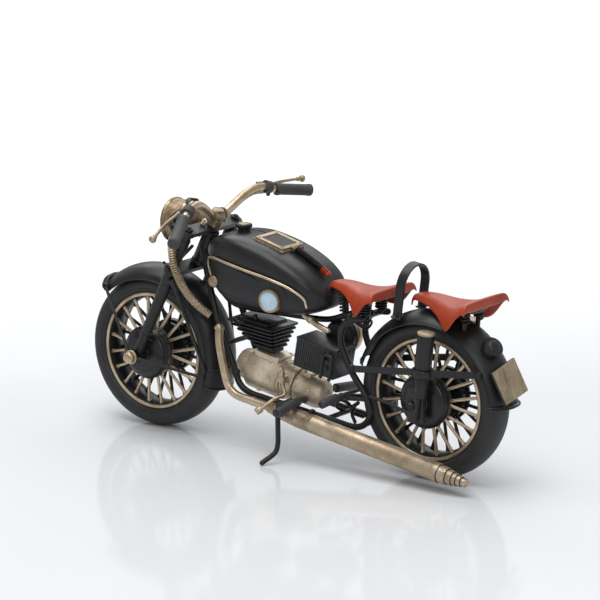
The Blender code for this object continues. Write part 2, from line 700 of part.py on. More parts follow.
SEAT_WIDTH = ((0, 3.4), (0.08, 4.8), (0.3, 6.6), (0.5, 10.4), (0.68, 16.6), (0.84, 21.4), (1.0, 20.2))
SEAT_CROWN = ((0, -0.4), (0.1, 0.6), (0.3, 0.4), (0.5, -1.0), (0.65, -1.5), (0.8, -1.0), (0.92, -0.1))
SEAT_CROWN += ((1.0, 0.0),)
SEAT_DROP = ((0, 2.4), (0.3, 4.4), (0.5, 7.0), (0.62, 9.8), (0.72, 12.0), (0.8, 10.6), (0.88, 6.4))
SEAT_DROP += ((1.0, 3.4),)
SEAT_THICKNESS = ((0, 2.4), (0.8, 2.4), (0.88, 2.8), (0.95, 5.6), (1.0, 6.6))
SEAT_STEPS = (0.0, 0.08, 0.2, 0.32, 0.44, 0.56, 0.66, 0.73, 0.8, 0.88, 0.95, 1.0)
SEATS = (("front", 61.6, 90.2, 36.6, 0.8), ("rear", 12.4, 90.4, 41.0, 2.4))


def seat_section(nose_x, top, length, lift, t):
    """A saddle's cross section: crowned top, sides that droop, hollow underneath, raised rear rim."""
    x = nose_x - length * t
    width = between(t, SEAT_WIDTH)
    crown = top + between(t, SEAT_CROWN) + lift * max(0.0, (t - 0.72) / 0.28) ** 1.5
    drop = between(t, SEAT_DROP)
    shape = ((0.0, 0.0), (0.45, -0.04), (0.78, -0.16), (0.94, -0.42), (1.0, -1.0))
    outer = [(width * across, crown + drop * fall) for across, fall in shape]
    under = crown - between(t, SEAT_THICKNESS)
    inner = [(width * 0.86, crown - drop * 0.82), (width * 0.5, under - 0.2), (0.0, under)]
    half = outer + inner
    ring_points = [(x, y, z) for y, z in half]
    ring_points += [(x, -y, z) for y, z in reversed(half[1:-1])]
    return ring_points


def build_seats():
    pieces = []
    for name, nose_x, top, length, lift in SEATS:
        sections = [seat_section(nose_x, top, length, lift, t) for t in SEAT_STEPS]
        pieces.append(loft(f"saddle_{name}", sections, ORANGE, 50.0))
    return pieces


STRAP_X = 15.6
STRAP_HALF = 11.2
STRAP_BASE = 79.6
STRAP_TOP = 105.0
STRAP_LEAN = radians(7.0)


def strap_outline(half_width, top, count=10):
    """One half circle on two legs, as points in the YZ plane from left to right."""
    spring = top - half_width
    points = [(half_width, STRAP_BASE)]
    for i in range(count + 1):
        angle = pi * i / count
        points.append((half_width * cos(angle), spring + half_width * sin(angle)))
    points.append((-half_width, STRAP_BASE))
    return points


def build_grab_strap():
    """A flat strap bent into a hoop: a 2D outline thickened across the strap's width."""
    curve = bpy.data.curves.new("grab_strap", "CURVE")
    curve.dimensions = "2D"
    curve.fill_mode = "BOTH"
    curve.extrude = 2.4 * MM
    outline = strap_outline(STRAP_HALF, STRAP_TOP)
    outline += list(reversed(strap_outline(STRAP_HALF - 1.1, STRAP_TOP - 1.1)))
    spline = curve.splines.new("POLY")
    spline.points.add(len(outline) - 1)
    for knot, (y, z) in zip(spline.points, outline):
        knot.co = (y * MM, (z - STRAP_BASE) * MM, 0.0, 1.0)
    spline.use_cyclic_u = True
    obj = add_object("grab_strap", curve, BLACK)
    axes = Matrix(((0, 0, 1), (1, 0, 0), (0, 1, 0))).to_4x4()
    lean = Matrix.Rotation(-STRAP_LEAN, 4, "Y")
    obj.matrix_world = Matrix.Translation(place(STRAP_X, 0, STRAP_BASE)) @ lean @ axes
    return obj


# ---------------------------------------------------------------- tail


def build_tail():
    behind = Vector((-0.755, 0.0, 0.656))
    axle = Vector((0.0, 0.0, AXLE_Z))
    lamp_base = axle + behind * (REAR_FENDER_RADIUS + 0.2) + SIDEWAYS * 3.4
    lamp_lean = (behind + SIDEWAYS * 0.21).normalized()
    profile = [(0.0, 3.8), (4.4, 3.8), (4.8, 3.4), (4.8, 0.6), (4.0, 0.0), (0.0, 0.0)]
    lamp = turned("tail_lamp", profile, lamp_base, lamp_lean, BLACK, 20)
    plate_middle = Vector((-42.8, 1.0, 54.0))
    plate = box("number_plate", (1.2, 21.8, 17.4), plate_middle, BRASS, radians(-23.0), 0.35)
    plate.matrix_world = plate.matrix_world @ Matrix.Rotation(radians(-8.5), 4, "X")
    outward = (plate_middle - axle).normalized()
    bracket = rod("bracket", axle + outward * (REAR_FENDER_RADIUS + 0.4), plate_middle, 2.0, BLACK, 12)
    return [lamp, combine(plate, [bracket])]


# ---------------------------------------------------------------- engine


def build_engine():
    front_profile = [(0.0, 0.4), (6.6, 0.4), (7.8, -0.6), (7.8, -6.9), (0.0, -6.9)]
    front = turned("timing_cover", front_profile, on_engine(-0.4), -ENGINE_BACK, BRASS, 28)
    case_profile = [(0.0, 0.0), (9.7, 0.0), (10.2, -0.6), (10.2, -20.0), (9.0, -20.6), (9.0, -28.6)]
    case_profile += [(0.0, -28.6)]
    case = turned("crankcase", case_profile, on_engine(6.9), -ENGINE_BACK, BRASS, 28)
    box_profile = [(0.0, 0.0), (8.0, 0.0), (8.0, -12.6), (7.0, -15.4), (4.0, -17.4), (0.0, -17.4)]
    gearbox = turned("gearbox", box_profile, on_engine(35.8), -ENGINE_BACK, BRASS, 28)
    flange = box("flange", (15.0, 12.0, 4.0), on_engine(16.8, 0, 8.8), BRASS, ENGINE_TILT, 0.5)
    return [front, combine(case, [flange]), gearbox]


FIN_COUNT = 6
FIN_PITCH = 2.35
FIN_THICKNESS = 1.15


def build_cylinder():
    """Square cooling fins that widen upwards round a core, which leans forward."""
    tilt = radians(5.5)
    up = Vector((0.341, 0.0, 0.940))
    ahead = Vector((cos(tilt), 0.0, sin(tilt)))
    foot = Vector((99.8, 0.0, 51.0))

    def square(height, length, width):
        centre = foot + up * height
        corners = ((1, 1), (-1, 1), (-1, -1), (1, -1))
        return [centre + ahead * (a * length / 2) + SIDEWAYS * (b * width / 2) for a, b in corners]

    sections = [square(-2.2, 11.0, 10.0)]
    for i in range(FIN_COUNT):
        low = 0.6 + i * FIN_PITCH
        share = i / (FIN_COUNT - 1)
        core = 11.5 + 9.5 * share
        length = 14.0 + 14.0 * share
        width = 14.0 + 10.0 * share
        for height, a, b in (
            (low, core, core - 2),
            (low + 0.1, length, width),
            (low + FIN_THICKNESS, length, width),
            (low + FIN_THICKNESS + 0.1, core, core - 2),
        ):
            sections.append(square(height, a, b))
    head = FIN_COUNT * FIN_PITCH + 1.2
    sections.append(square(head, 20.0, 17.0))
    return loft("cylinder_fins", sections, BLACK, 20.0)


def build_engine_fittings():
    pieces = []
    tilt = radians(10.0)
    battery = box("battery_box", (25.0, 17.0, 15.6), (62.6, 5.0, 52.6), BLACK, tilt, 0.5)
    strap = box("strap", (6.2, 1.6, 12.8), (53.6, 13.6, 50.6), BLACK, tilt, 0.3)
    pieces.append(combine(battery, [strap]))
    filter_profile = [(0.0, 8.4), (7.4, 8.2), (8.2, 7.2), (8.2, 1.6), (9.3, 1.6), (9.3, 0.4)]
    filter_profile += [(8.6, 0.0), (0.0, 0.0)]
    pieces.append(turned("air_cleaner", filter_profile, (61.0, -12.6, 60.4), SIDEWAYS, BLACK, 24))
    lever = [(83.2, 12.4, 41.4), (82.6, 12.6, 36.0), (81.0, 13.6, 31.4), (83.6, 18.0, 29.8)]
    lever += [(88.8, 24.6, 24.4)]
    shift = tube("gear_lever", lever, 0.95, BRASS, 2, 1)
    boss = rod("boss", (83.2, 10.2, 38.6), (83.2, 13.8, 38.6), 2.3, BRASS, 14)
    knob = ball("knob", (88.8, 24.6, 24.4), 1.5, BRASS, 10)
    pieces.append(combine(shift, [boss, knob]))
    shaft = [(60.0, -5.6, 29.8), (52.0, -7.8, 30.0), (44.0, -11.2, 30.8), (36.0, -15.4, 32.8)]
    shaft += [(28.0, -16.6, 34.8), (12.0, -16.6, 38.6)]
    pieces.append(tube("drive_shaft", shaft, 2.0, BLACK, 1))
    return pieces


def build_brake_linkage(plate):
    """The rear brake's arm and pull rod, soldered to its cover."""
    arm = rod("arm", (1.5, 12.6, 37.4), (3.4, 14.6, 32.8), 1.1, BLACK, 10)
    pull = tube("pull", [(28.7, 14.4, 38.7), (16.0, 14.6, 36.6), (3.4, 14.6, 33.0)], 0.8, BLACK, 2)
    return combine(plate, [arm, pull])


def build_exhaust():
    pieces = []
    pipe = [(120.6, 14.6, 60.4), (119.6, 15.8, 52.0), (116.0, 16.2, 38.0), (113.4, 16.2, 31.2)]
    pipe += [(108.4, 16.2, 27.6), (98.6, 16.4, 26.0), (88.4, 16.8, 24.8)]
    pieces.append(tube("exhaust_pipe", pipe, EXHAUST_RADIUS, BRASS, 3, 2))
    start = Vector((88.1, 16.9, 24.7))
    tail = Vector((-17.2, 21.4, 9.1))
    along = (tail - start).normalized()
    length = (tail - start).length
    radius = MUFFLER_RADIUS
    profile = [(0.0, 0.0), (2.2, 0.0), (3.0, -3.0), (4.0, -14.0), (radius, -18.0), (radius, -length)]
    profile += [(0.0, -length)]
    muffler = turned("muffler", profile, start, -along, BRASS, 16)
    tip_profile = [(0.0, 1.0), (4.1, 1.0), (4.1, -4.8), (3.6, -4.8), (3.6, -8.0), (3.1, -8.0), (3.1, -10.4)]
    tip_profile += [(2.6, -10.4), (2.6, -12.8), (2.0, -12.8), (2.0, -15.6), (0.0, -15.6)]
    pieces.append(combine(muffler, [turned("tip", tip_profile, tail, -along, BRASS, 16)]))
    return pieces


def build_footpegs():
    """Front pegs on short pins, and the rear pair on one bar across the frame."""
    pieces = []
    for name, side in LEFT_RIGHT:
        pin = rod("pin", (70.8, side * 12.6, 30.6), (70.7, side * 17.0, 30.0), 1.2, BLACK, 10)
        front = rod(f"footpeg_{name}", (70.7, side * 16.0, 30.2), (70.0, side * 34.6, 28.2), 2.3, GRIP, 14)
        pieces.append(combine(front, [pin]))
    bar = rod("rear_footpegs", (48.0, -16.0, 35.4), (48.0, 16.0, 35.4), 1.1, GRIP, 10)
    rubbers = []
    for side in (1, -1):
        start = (48.0, side * 15.0, 35.4)
        rubbers.append(rod("rubber", start, (50.0, side * 26.0, 33.4), 2.1, GRIP, 14))
    pieces.append(combine(bar, rubbers))
    return pieces


STAND_PIVOT = Vector((76.6, 25.1, 25.4))


def build_stand():
    route = [STAND_PIVOT, (76.4, 25.2, 17.0), (76.2, 25.6, 9.6), (76.8, 27.4, 5.2), (78.6, 32.8, 1.9)]
    leg = tube("side_stand", route, 1.15, BLACK, 3)
    eye = rod("eye", STAND_PIVOT - SIDEWAYS * 0.9, STAND_PIVOT + SIDEWAYS * 1.6, 2.2, BLACK, 16)
    foot = box("foot", (4.4, 4.4, 1.6), (78.8, 33.2, 0.8), BLACK, 0.0, 0.0)
    return combine(leg, [eye, foot])


# ---------------------------------------------------------------- assembly


def joint_empty(name, point, axis):
    empty = bpy.data.objects.new(name, None)
    empty.empty_display_size = 0.01
    MODEL.objects.link(empty)
    return aim(empty, point, axis)


def hang(pieces, parent):
    """Parent the pieces to the empty on their joint, and leave them where they are."""
    bpy.context.view_layer.update()
    for piece in pieces:
        world = piece.matrix_world.copy()
        piece.parent = parent
        piece.matrix_parent_inverse = parent.matrix_world.inverted()
        piece.matrix_world = world


def build_wheel(end, x, axis_empty):
    hang([build_tyre(end, x), build_rim(end, x), build_hub(end, x)], axis_empty)


def main():
    steering = joint_empty("steering_axis", STEM_TOP, -STEM_DOWN)
    front_spin = joint_empty("front_wheel_axis", (WHEELBASE, 0, AXLE_Z), SIDEWAYS)
    rear_spin = joint_empty("rear_wheel_axis", (0, 0, AXLE_Z), SIDEWAYS)
    stand_axis = joint_empty("side_stand_axis", STAND_PIVOT, SIDEWAYS)
    hang([front_spin], steering)

    build_wheel("front", WHEELBASE, front_spin)
    build_wheel("rear", 0.0, rear_spin)

    steered = [build_fork_crown(), build_handlebar(), build_bar_clamp()] + build_headlamp()
    steered.append(build_axle("front", WHEELBASE, LEG_Y + 4.6, 3.2, BRASS))
    front_arch = ("front_fender", WHEELBASE, FRONT_FENDER_RADIUS, 50.0, 200.0)
    steered.append(build_fender(*front_arch, BLACK, 18))
    for name, side in LEFT_RIGHT:
        steered.append(build_fork_slider(name, side))
        steered.append(build_grip(name, side))
        steered.append(build_front_stays(name, side))
        steered.append(build_brake_plate("front", name, side, WHEELBASE, 7.0))
    hang(steered, steering)
    for label, side in (("clutch", 1), ("brake", -1)):
        pivot = joint_empty(f"{label}_lever_axis", on_bar(LEVER_PIVOT, side), UP)
        hang([pivot], steering)
        hang([build_lever(label, side)], pivot)

    tube("brass_hose", HOSE_ROUTE, 1.9, BRASS, 2)
    build_frame()
    for name, side in LEFT_RIGHT:
        build_plunger(name, side)
        build_side_strap(name, side)
    build_axle("rear", 0.0, PLUNGER_Y + 1.2, 2.5, BLACK)
    build_brake_linkage(build_brake_plate("rear", "left", 1, 0.0, 5.4))
    build_brake_plate("rear", "right", -1, 0.0, 5.4)
    rear_arch = build_fender("rear_fender", 0.0, REAR_FENDER_RADIUS, 20.0, 178.0, BLACK, 16)
    posts = []
    for side in (1, -1):
        posts.append(rod("post", (-20.0, side * 6.0, 76.2), (-20.6, side * 6.0, 86.4), 1.5, BLACK, 10))
    combine(rear_arch, posts)
    build_tank()
    build_tank_fittings()
    build_seats()
    build_grab_strap()
    build_tail()
    build_engine()
    build_cylinder()
    build_engine_fittings()
    build_exhaust()
    build_footpegs()
    hang([build_stand()], stand_axis)


main()
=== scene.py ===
"""Looks of the tin motorcycle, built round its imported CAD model.

Lengths below are in millimetres from the ground under the rear axle, +X forward, +Y to the
rider's left and +Z up. place() turns them into the model's frame, in metres.
"""

from math import cos, pi, radians, sin

import bmesh
import bpy
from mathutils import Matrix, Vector


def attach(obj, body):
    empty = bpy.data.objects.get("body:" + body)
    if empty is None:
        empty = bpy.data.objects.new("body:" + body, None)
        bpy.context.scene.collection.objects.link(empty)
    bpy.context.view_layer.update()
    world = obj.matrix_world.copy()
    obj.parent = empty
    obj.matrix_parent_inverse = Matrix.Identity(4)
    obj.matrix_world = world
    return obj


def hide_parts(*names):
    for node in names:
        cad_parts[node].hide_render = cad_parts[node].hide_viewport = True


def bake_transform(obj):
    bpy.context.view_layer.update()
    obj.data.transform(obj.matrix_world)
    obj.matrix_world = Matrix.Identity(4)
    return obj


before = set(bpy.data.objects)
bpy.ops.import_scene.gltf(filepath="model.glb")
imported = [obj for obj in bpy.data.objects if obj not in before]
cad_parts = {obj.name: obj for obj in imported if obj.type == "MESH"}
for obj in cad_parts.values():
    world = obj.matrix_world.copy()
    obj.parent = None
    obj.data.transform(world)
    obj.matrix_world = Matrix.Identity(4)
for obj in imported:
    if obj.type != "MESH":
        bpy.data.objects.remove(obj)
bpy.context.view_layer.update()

MM = 0.001
WELD_DISTANCE = 0.000002
SHARP_ANGLE = radians(40.0)
REAR_AXLE_X = -81.33
WHEELBASE = 170.0
AXLE_Z = 39.848
TYRE_RADIUS = 39.8
RIM_RADIUS = 30.4
FENDER_HALF = 11.4
FENDER_LIP_RADIUS = 38.0
FRONT_FENDER_RADIUS = 45.2
REAR_FENDER_RADIUS = 43.6
LEG_Y = 19.4
PLUNGER_Y = 18.6
LOOP_Y = 10.6
HEAD_TOP = 10.2
HEAD_BOTTOM = 30.6
SPOKE_PAIRS = 10

X = Vector((1.0, 0.0, 0.0))
Y = Vector((0.0, 1.0, 0.0))
Z = Vector((0.0, 0.0, 1.0))
SIDES = (("left", 1), ("right", -1))

RAKE = radians(26.2)
STEM_TOP = Vector((131.5, 0.0, 115.2))
STEM_DOWN = Vector((sin(RAKE), 0.0, -cos(RAKE)))
STEM_AHEAD = Vector((cos(RAKE), 0.0, sin(RAKE)))
LEG_OFFSET = 1.35
ENGINE_TILT = radians(11.0)
ENGINE_FRONT = Vector((116.0, 0.0, 40.4))
ENGINE_BACK = Vector((-cos(ENGINE_TILT), 0.0, -sin(ENGINE_TILT)))
ENGINE_UP = Vector((-sin(ENGINE_TILT), 0.0, cos(ENGINE_TILT)))


def place(point):
    return Vector((point[0] + REAR_AXLE_X, point[1], point[2])) * MM


def on_stem(down, y=0.0, ahead=0.0):
    """A point given by its distance down the steering stem."""
    return STEM_TOP + STEM_DOWN * down + STEM_AHEAD * ahead + Y * y


def on_engine(back, y=0.0, up=0.0):
    """A point given by its distance back along the engine's tilted axis."""
    return ENGINE_FRONT + ENGINE_BACK * back + ENGINE_UP * up + Y * y


def flip(point, side):
    return Vector((point[0], side * point[1], point[2]))


# ---------------------------------------------------------------- shapes


def axes_along(axis):
    """Two directions square to the axis, and the axis itself."""
    along = Vector(axis).normalized()
    across = Y if abs(along.y) < 0.9 else X
    across = (across - along * across.dot(along)).normalized()
    return across, along.cross(across), along


def curve(points, spacing=1.2):
    """Evenly spaced points on a smooth curve through the given ones."""
    points = [Vector(p) for p in points]
    ends = [points[0] * 2 - points[1]] + points + [points[-1] * 2 - points[-2]]
    fine = []
    for i in range(1, len(ends) - 2):
        a, b, c, d = ends[i - 1 : i + 3]
        for step in range(16):
            t = step / 16
            bend = (a * 2 - b * 5 + c * 4 - d) * (t * t / 2)
            fine.append(b + (c - a) * (t / 2) + bend + (b * 3 - a - c * 3 + d) * (t**3 / 2))
    fine.append(points[-1])
    return spread(fine, spacing)


def spread(points, spacing):
    """The same line with points at an even distance."""
    lengths = [0.0]
    for a, b in zip(points, points[1:]):
        lengths.append(lengths[-1] + (b - a).length)
    count = max(2, round(lengths[-1] / spacing) + 1)
    line, k = [], 0
    for i in range(count):
        goal = lengths[-1] * i / (count - 1)
        while k < len(points) - 2 and lengths[k + 1] < goal:
            k += 1
        share = (goal - lengths[k]) / max(lengths[k + 1] - lengths[k], 1e-9)
        line.append(points[k].lerp(points[k + 1], min(1.0, share)))
    return line


def between(value, table):
    """Reads a smooth value off (place, value) pairs."""
    if value <= table[0][0]:
        return table[0][1]
    for (a, low), (b, high) in zip(table, table[1:]):
        if value <= b:
            return low + (high - low) * (value - a) / (b - a)
    return table[-1][1]


class Shape:
    """Gathers closed skins, in millimetres, that make one piece."""

    def __init__(self):
        self.points = []
        self.faces = []

    def add(self, points, faces):
        first = len(self.points)
        self.points.extend(Vector(p) for p in points)
        self.faces.extend(tuple(first + i for i in face) for face in faces)
        return self

    def skin(self, rings):
        """A closed skin over rings that hold the same number of points."""
        size, total = len(rings[0]), len(rings)
        faces = []
        for k in range(total - 1):
            near, far = k * size, (k + 1) * size
            for i in range(size):
                j = (i + 1) % size
                faces.append((near + i, near + j, far + j, far + i))
        faces.append(tuple(range(size))[::-1])
        faces.append(tuple(range((total - 1) * size, total * size)))
        return self.add([p for ring in rings for p in ring], faces)

    def sheet(self, rows):
        """An open grid of points."""
        size = len(rows[0])
        faces = []
        for k in range(len(rows) - 1):
            for i in range(size - 1):
                a = k * size + i
                faces.append((a, a + 1, a + size + 1, a + size))
        return self.add([p for row in rows for p in row], faces)

    def lathe(self, profile, centre, axis, steps=72, closed=False, spin=0.0):
        """Turns (radius, height) points about an axis."""
        across, up, along = axes_along(axis)
        points, faces, size = [], [], len(profile)
        for step in range(steps):
            angle = spin + 2 * pi * step / steps
            out = across * cos(angle) + up * sin(angle)
            points += [Vector(centre) + out * r + along * h for r, h in profile]
        for step in range(steps):
            near, far = step * size, (step + 1) % steps * size
            for i in range(size if closed else size - 1):
                j = (i + 1) % size
                faces.append((near + i, near + j, far + j, far + i))
        return self.add(points, faces)

    def tube(self, path, radius, sides=16, round_ends=False):
        """Sweeps a circle along a path. The radius is a number or a function of the distance."""
        path = [Vector(p) for p in path]
        size = radius if callable(radius) else lambda distance: radius
        tangents = [
            (path[min(i + 1, len(path) - 1)] - path[max(i - 1, 0)]).normalized()
            for i in range(len(path))
        ]
        across = axes_along(tangents[0])[0]
        rings, distance = [], 0.0
        for i, (point, tangent) in enumerate(zip(path, tangents)):
            distance += (point - path[i - 1]).length if i else 0.0
            across = (across - tangent * across.dot(tangent)).normalized()
            side = tangent.cross(across)
            reach = size(distance)
            rings.append([self.around(point, across, side, reach, k / sides) for k in range(sides)])
            if round_ends and i in (0, len(path) - 1):
                ahead = -1 if i == 0 else 1
                dome = []
                for angle in (25, 50, 72, 86):
                    middle = point + tangent * (ahead * reach * sin(radians(angle)))
                    small = reach * cos(radians(angle))
                    dome.append([self.around(middle, across, side, small, k / sides) for k in range(sides)])
                rings = dome[::-1] + rings if i == 0 else rings + dome
        return self.skin(rings)

    def wire(self, points, spacing, radius, sides):
        """A round-ended tube along the smooth curve through the points."""
        return self.tube(curve(points, spacing), radius, sides, True)

    @staticmethod
    def around(middle, across, side, reach, share):
        return middle + across * (reach * cos(2 * pi * share)) + side * (reach * sin(2 * pi * share))

    def rod(self, start, end, radius, end_radius=None, sides=32, rounded=0.25):
        """A round bar with softened ends, or a cone."""
        start, end = Vector(start), Vector(end)
        axis = end - start
        last = radius if end_radius is None else end_radius
        soft = min(rounded, axis.length / 3, radius / 2, last / 2)
        profile = [(0.0, 0.0), (radius - soft, 0.0), (radius - soft * 0.3, soft * 0.3), (radius, soft)]
        top = axis.length
        profile += [(last, top - soft), (last - soft * 0.3, top - soft * 0.3), (last - soft, top), (0.0, top)]
        return self.lathe(profile, start, axis, sides)

    def ball(self, centre, radius, axis=Z, flat=1.0):
        """A ball, or a flattened one."""
        steps, sides = 12, 28
        profile = []
        for i in range(steps + 1):
            angle = -pi / 2 + pi * i / steps
            profile.append((max(0.0, radius * cos(angle)), radius * flat * sin(angle)))
        return self.lathe(profile, centre, axis, sides)

    def block(self, size, centre, ahead=X, up=Z):
        """A box whose length runs ahead and height runs up."""
        ahead, up = Vector(ahead).normalized(), Vector(up).normalized()
        side = up.cross(ahead)
        corners = []
        for c in (-1, 1):
            for a, b in ((1, 1), (-1, 1), (-1, -1), (1, -1)):
                level = Vector(centre) + ahead * (a * size[0] / 2) + side * (b * size[1] / 2)
                corners.append(level + up * (c * size[2] / 2))
        faces = [(3, 2, 1, 0), (4, 5, 6, 7), (0, 1, 5, 4), (1, 2, 6, 5), (2, 3, 7, 6), (3, 0, 4, 7)]
        return self.add(corners, faces)

    def coil(self, start, end, radius, wire, turns):
        """A wound spring between two points."""
        start, end = Vector(start), Vector(end)
        across, up, _ = axes_along(end - start)
        steps_per_turn, sides = 18, 10
        steps = int(turns * steps_per_turn)
        path = []
        for i in range(steps + 1):
            angle = 2 * pi * turns * i / steps
            middle = start.lerp(end, i / steps)
            path.append(middle + across * (radius * cos(angle)) + up * (radius * sin(angle)))
        return self.tube(path, wire, sides)


def ribbed(radius, depth, pitch):
    """A tube radius that swells and narrows once per pitch."""
    return lambda distance: radius + depth * (abs(sin(pi * distance / pitch)) - 0.5) * 2


def build(name, shape, material, body, nodes=(), bevel=0.0, smooth=38.0, levels=0, skin=0.0):
    """One piece from a shape, riding on a body, in place of the CAD nodes named."""
    mesh = bpy.data.meshes.new(name)
    mesh.from_pydata([place(p) for p in shape.points], [], shape.faces)
    bm = bmesh.new()
    bm.from_mesh(mesh)
    bmesh.ops.remove_doubles(bm, verts=bm.verts, dist=WELD_DISTANCE)
    bmesh.ops.recalc_face_normals(bm, faces=bm.faces)
    bm.to_mesh(mesh)
    bm.free()
    mesh.shade_smooth()
    mesh.set_sharp_from_angle(angle=radians(smooth))
    obj = bpy.data.objects.new(name, mesh)
    bpy.context.scene.collection.objects.link(obj)
    mesh.materials.append(material)
    if skin:
        wall = obj.modifiers.new("wall", "SOLIDIFY")
        wall.thickness = skin * MM
        wall.offset = -1.0
    if bevel:
        edge = obj.modifiers.new("edge", "BEVEL")
        edge.width = bevel * MM
        edge.segments = 3
        edge.limit_method = "ANGLE"
        edge.angle_limit = SHARP_ANGLE
    if levels:
        finer = obj.modifiers.new("finer", "SUBSURF")
        finer.levels = levels
        finer.render_levels = levels
    if body:
        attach(obj, body)
    if nodes:
        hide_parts(*([nodes] if isinstance(nodes, str) else nodes))
    return obj


# ---------------------------------------------------------------- materials


class Paint:
    """Builds one procedural material on a Principled shader."""

    def __init__(self, name, roughness=0.5, metallic=0.0, specular=0.5, coat=0.0):
        self.material = bpy.data.materials.new(name)
        self.material.use_nodes = True
        self.nodes = self.material.node_tree.nodes
        self.links = self.material.node_tree.links
        self.shader = self.nodes["Principled BSDF"]
        self.shader.inputs["Roughness"].default_value = roughness
        self.shader.inputs["Metallic"].default_value = metallic
        self.shader.inputs["Specular IOR Level"].default_value = specular
        self.shader.inputs["Coat Weight"].default_value = coat
        self.where = self.nodes.new("ShaderNodeTexCoord").outputs["Object"]

    def noise(self, scale, detail=4.0, rough=0.55, stretch=None):
        texture = self.nodes.new("ShaderNodeTexNoise")
        texture.inputs["Scale"].default_value = scale
        texture.inputs["Detail"].default_value = detail
        texture.inputs["Roughness"].default_value = rough
        source = self.where
        if stretch:
            mapping = self.nodes.new("ShaderNodeMapping")
            mapping.inputs["Scale"].default_value = stretch
            self.links.new(source, mapping.inputs["Vector"])
            source = mapping.outputs["Vector"]
        self.links.new(source, texture.inputs["Vector"])
        return texture.outputs["Fac"]

    def ramp(self, value, low, high, first=0.0, last=1.0):
        """Maps low..high onto first..last, and holds it there outside."""
        step = self.nodes.new("ShaderNodeMapRange")
        step.inputs["From Min"].default_value = low
        step.inputs["From Max"].default_value = high
        step.inputs["To Min"].default_value = first
        step.inputs["To Max"].default_value = last
        self.links.new(value, step.inputs["Value"])
        return step.outputs["Result"]

    def times(self, a, b):
        step = self.nodes.new("ShaderNodeMath")
        step.operation = "MULTIPLY"
        step.use_clamp = True
        self.links.new(a, step.inputs[0])
        if isinstance(b, float):
            step.inputs[1].default_value = b
        else:
            self.links.new(b, step.inputs[1])
        return step.outputs["Value"]

    def mix(self, share, a, b):
        step = self.nodes.new("ShaderNodeMix")
        step.data_type = "RGBA"
        self.links.new(share, step.inputs["Factor"])
        for socket, colour in ((step.inputs["A"], a), (step.inputs["B"], b)):
            if isinstance(colour, tuple):
                socket.default_value = (*colour, 1.0)
            else:
                self.links.new(colour, socket)
        return step.outputs["Result"]

    def worn_edges(self, start=0.53, full=0.62):
        """1 on raised edges, broken up by noise."""
        shape = self.nodes.new("ShaderNodeNewGeometry").outputs["Pointiness"]
        return self.times(self.ramp(shape, start, full), self.ramp(self.noise(900.0), 0.42, 0.62))

    def colour(self, value):
        self.links.new(value, self.shader.inputs["Base Color"])

    def roughness(self, value, low, high):
        self.links.new(self.ramp(value, 0.3, 0.7, low, high), self.shader.inputs["Roughness"])

    def bump(self, height, strength, distance=0.0002):
        step = self.nodes.new("ShaderNodeBump")
        step.inputs["Strength"].default_value = strength
        step.inputs["Distance"].default_value = distance
        self.links.new(height, step.inputs["Height"])
        self.links.new(step.outputs["Normal"], self.shader.inputs["Normal"])


def black_paint(name, rough=(0.3, 0.46), tint=(0.0085, 0.0085, 0.009), grain=0.16):
    paint = Paint(name, specular=0.36)
    cloud = paint.noise(55.0, 5.0, 0.6)
    fine = paint.noise(2600.0, 3.0)
    dusty = tuple(c * 2.0 + 0.004 for c in tint)
    base = paint.mix(paint.ramp(cloud, 0.45, 0.75, 0.0, 0.6), tint, dusty)
    speck = paint.times(paint.ramp(paint.noise(1500.0, 2.0, 0.5), 0.73, 0.78), 0.6)
    base = paint.mix(speck, base, (0.19, 0.13, 0.075))
    base = paint.mix(paint.times(paint.worn_edges(), 0.45), base, (0.075, 0.068, 0.06))
    paint.colour(base)
    paint.roughness(cloud, *rough)
    paint.bump(fine, grain, 0.00012)
    return paint.material


def brass_paint(name, tint=(0.56, 0.455, 0.32), rough=(0.27, 0.42), metallic=0.82, grain=0.35):
    paint = Paint(name, metallic=metallic)
    cloud = paint.noise(85.0, 5.0, 0.65)
    fine = paint.noise(3200.0, 3.0, 0.6)
    dark = tuple(c * k for c, k in zip(tint, (0.52, 0.46, 0.36)))
    light = tuple(min(1.0, c * k) for c, k in zip(tint, (1.32, 1.36, 1.5)))
    base = paint.mix(paint.ramp(cloud, 0.38, 0.64, 0.0, 0.8), tint, dark)
    base = paint.mix(paint.ramp(fine, 0.52, 0.7, 0.0, 0.55), base, light)
    stain = paint.times(paint.ramp(paint.noise(700.0, 3.0, 0.6), 0.64, 0.72), 0.75)
    base = paint.mix(stain, base, (0.07, 0.048, 0.026))
    base = paint.mix(paint.times(paint.worn_edges(0.52, 0.6), 0.6), base, light)
    paint.colour(base)
    paint.roughness(cloud, *rough)
    paint.bump(fine, grain, 0.00015)
    return paint.material


def saddle_paint():
    paint = Paint("saddle_orange", coat=0.0, specular=0.38)
    cloud = paint.noise(60.0, 5.0, 0.6)
    fine = paint.noise(1700.0, 4.0, 0.6)
    base = paint.mix(paint.ramp(cloud, 0.4, 0.68), (0.34, 0.037, 0.0068), (0.265, 0.028, 0.0056))
    scuff = paint.times(paint.ramp(paint.noise(240.0, 6.0, 0.7, (1.0, 0.35, 1.0)), 0.6, 0.74), 0.4)
    base = paint.mix(scuff, base, (0.17, 0.021, 0.006))
    base = paint.mix(paint.times(paint.worn_edges(0.54, 0.66), 0.3), base, (0.5, 0.1, 0.03))
    paint.colour(base)
    paint.roughness(cloud, 0.33, 0.46)
    paint.bump(fine, 0.2, 0.00015)
    return paint.material


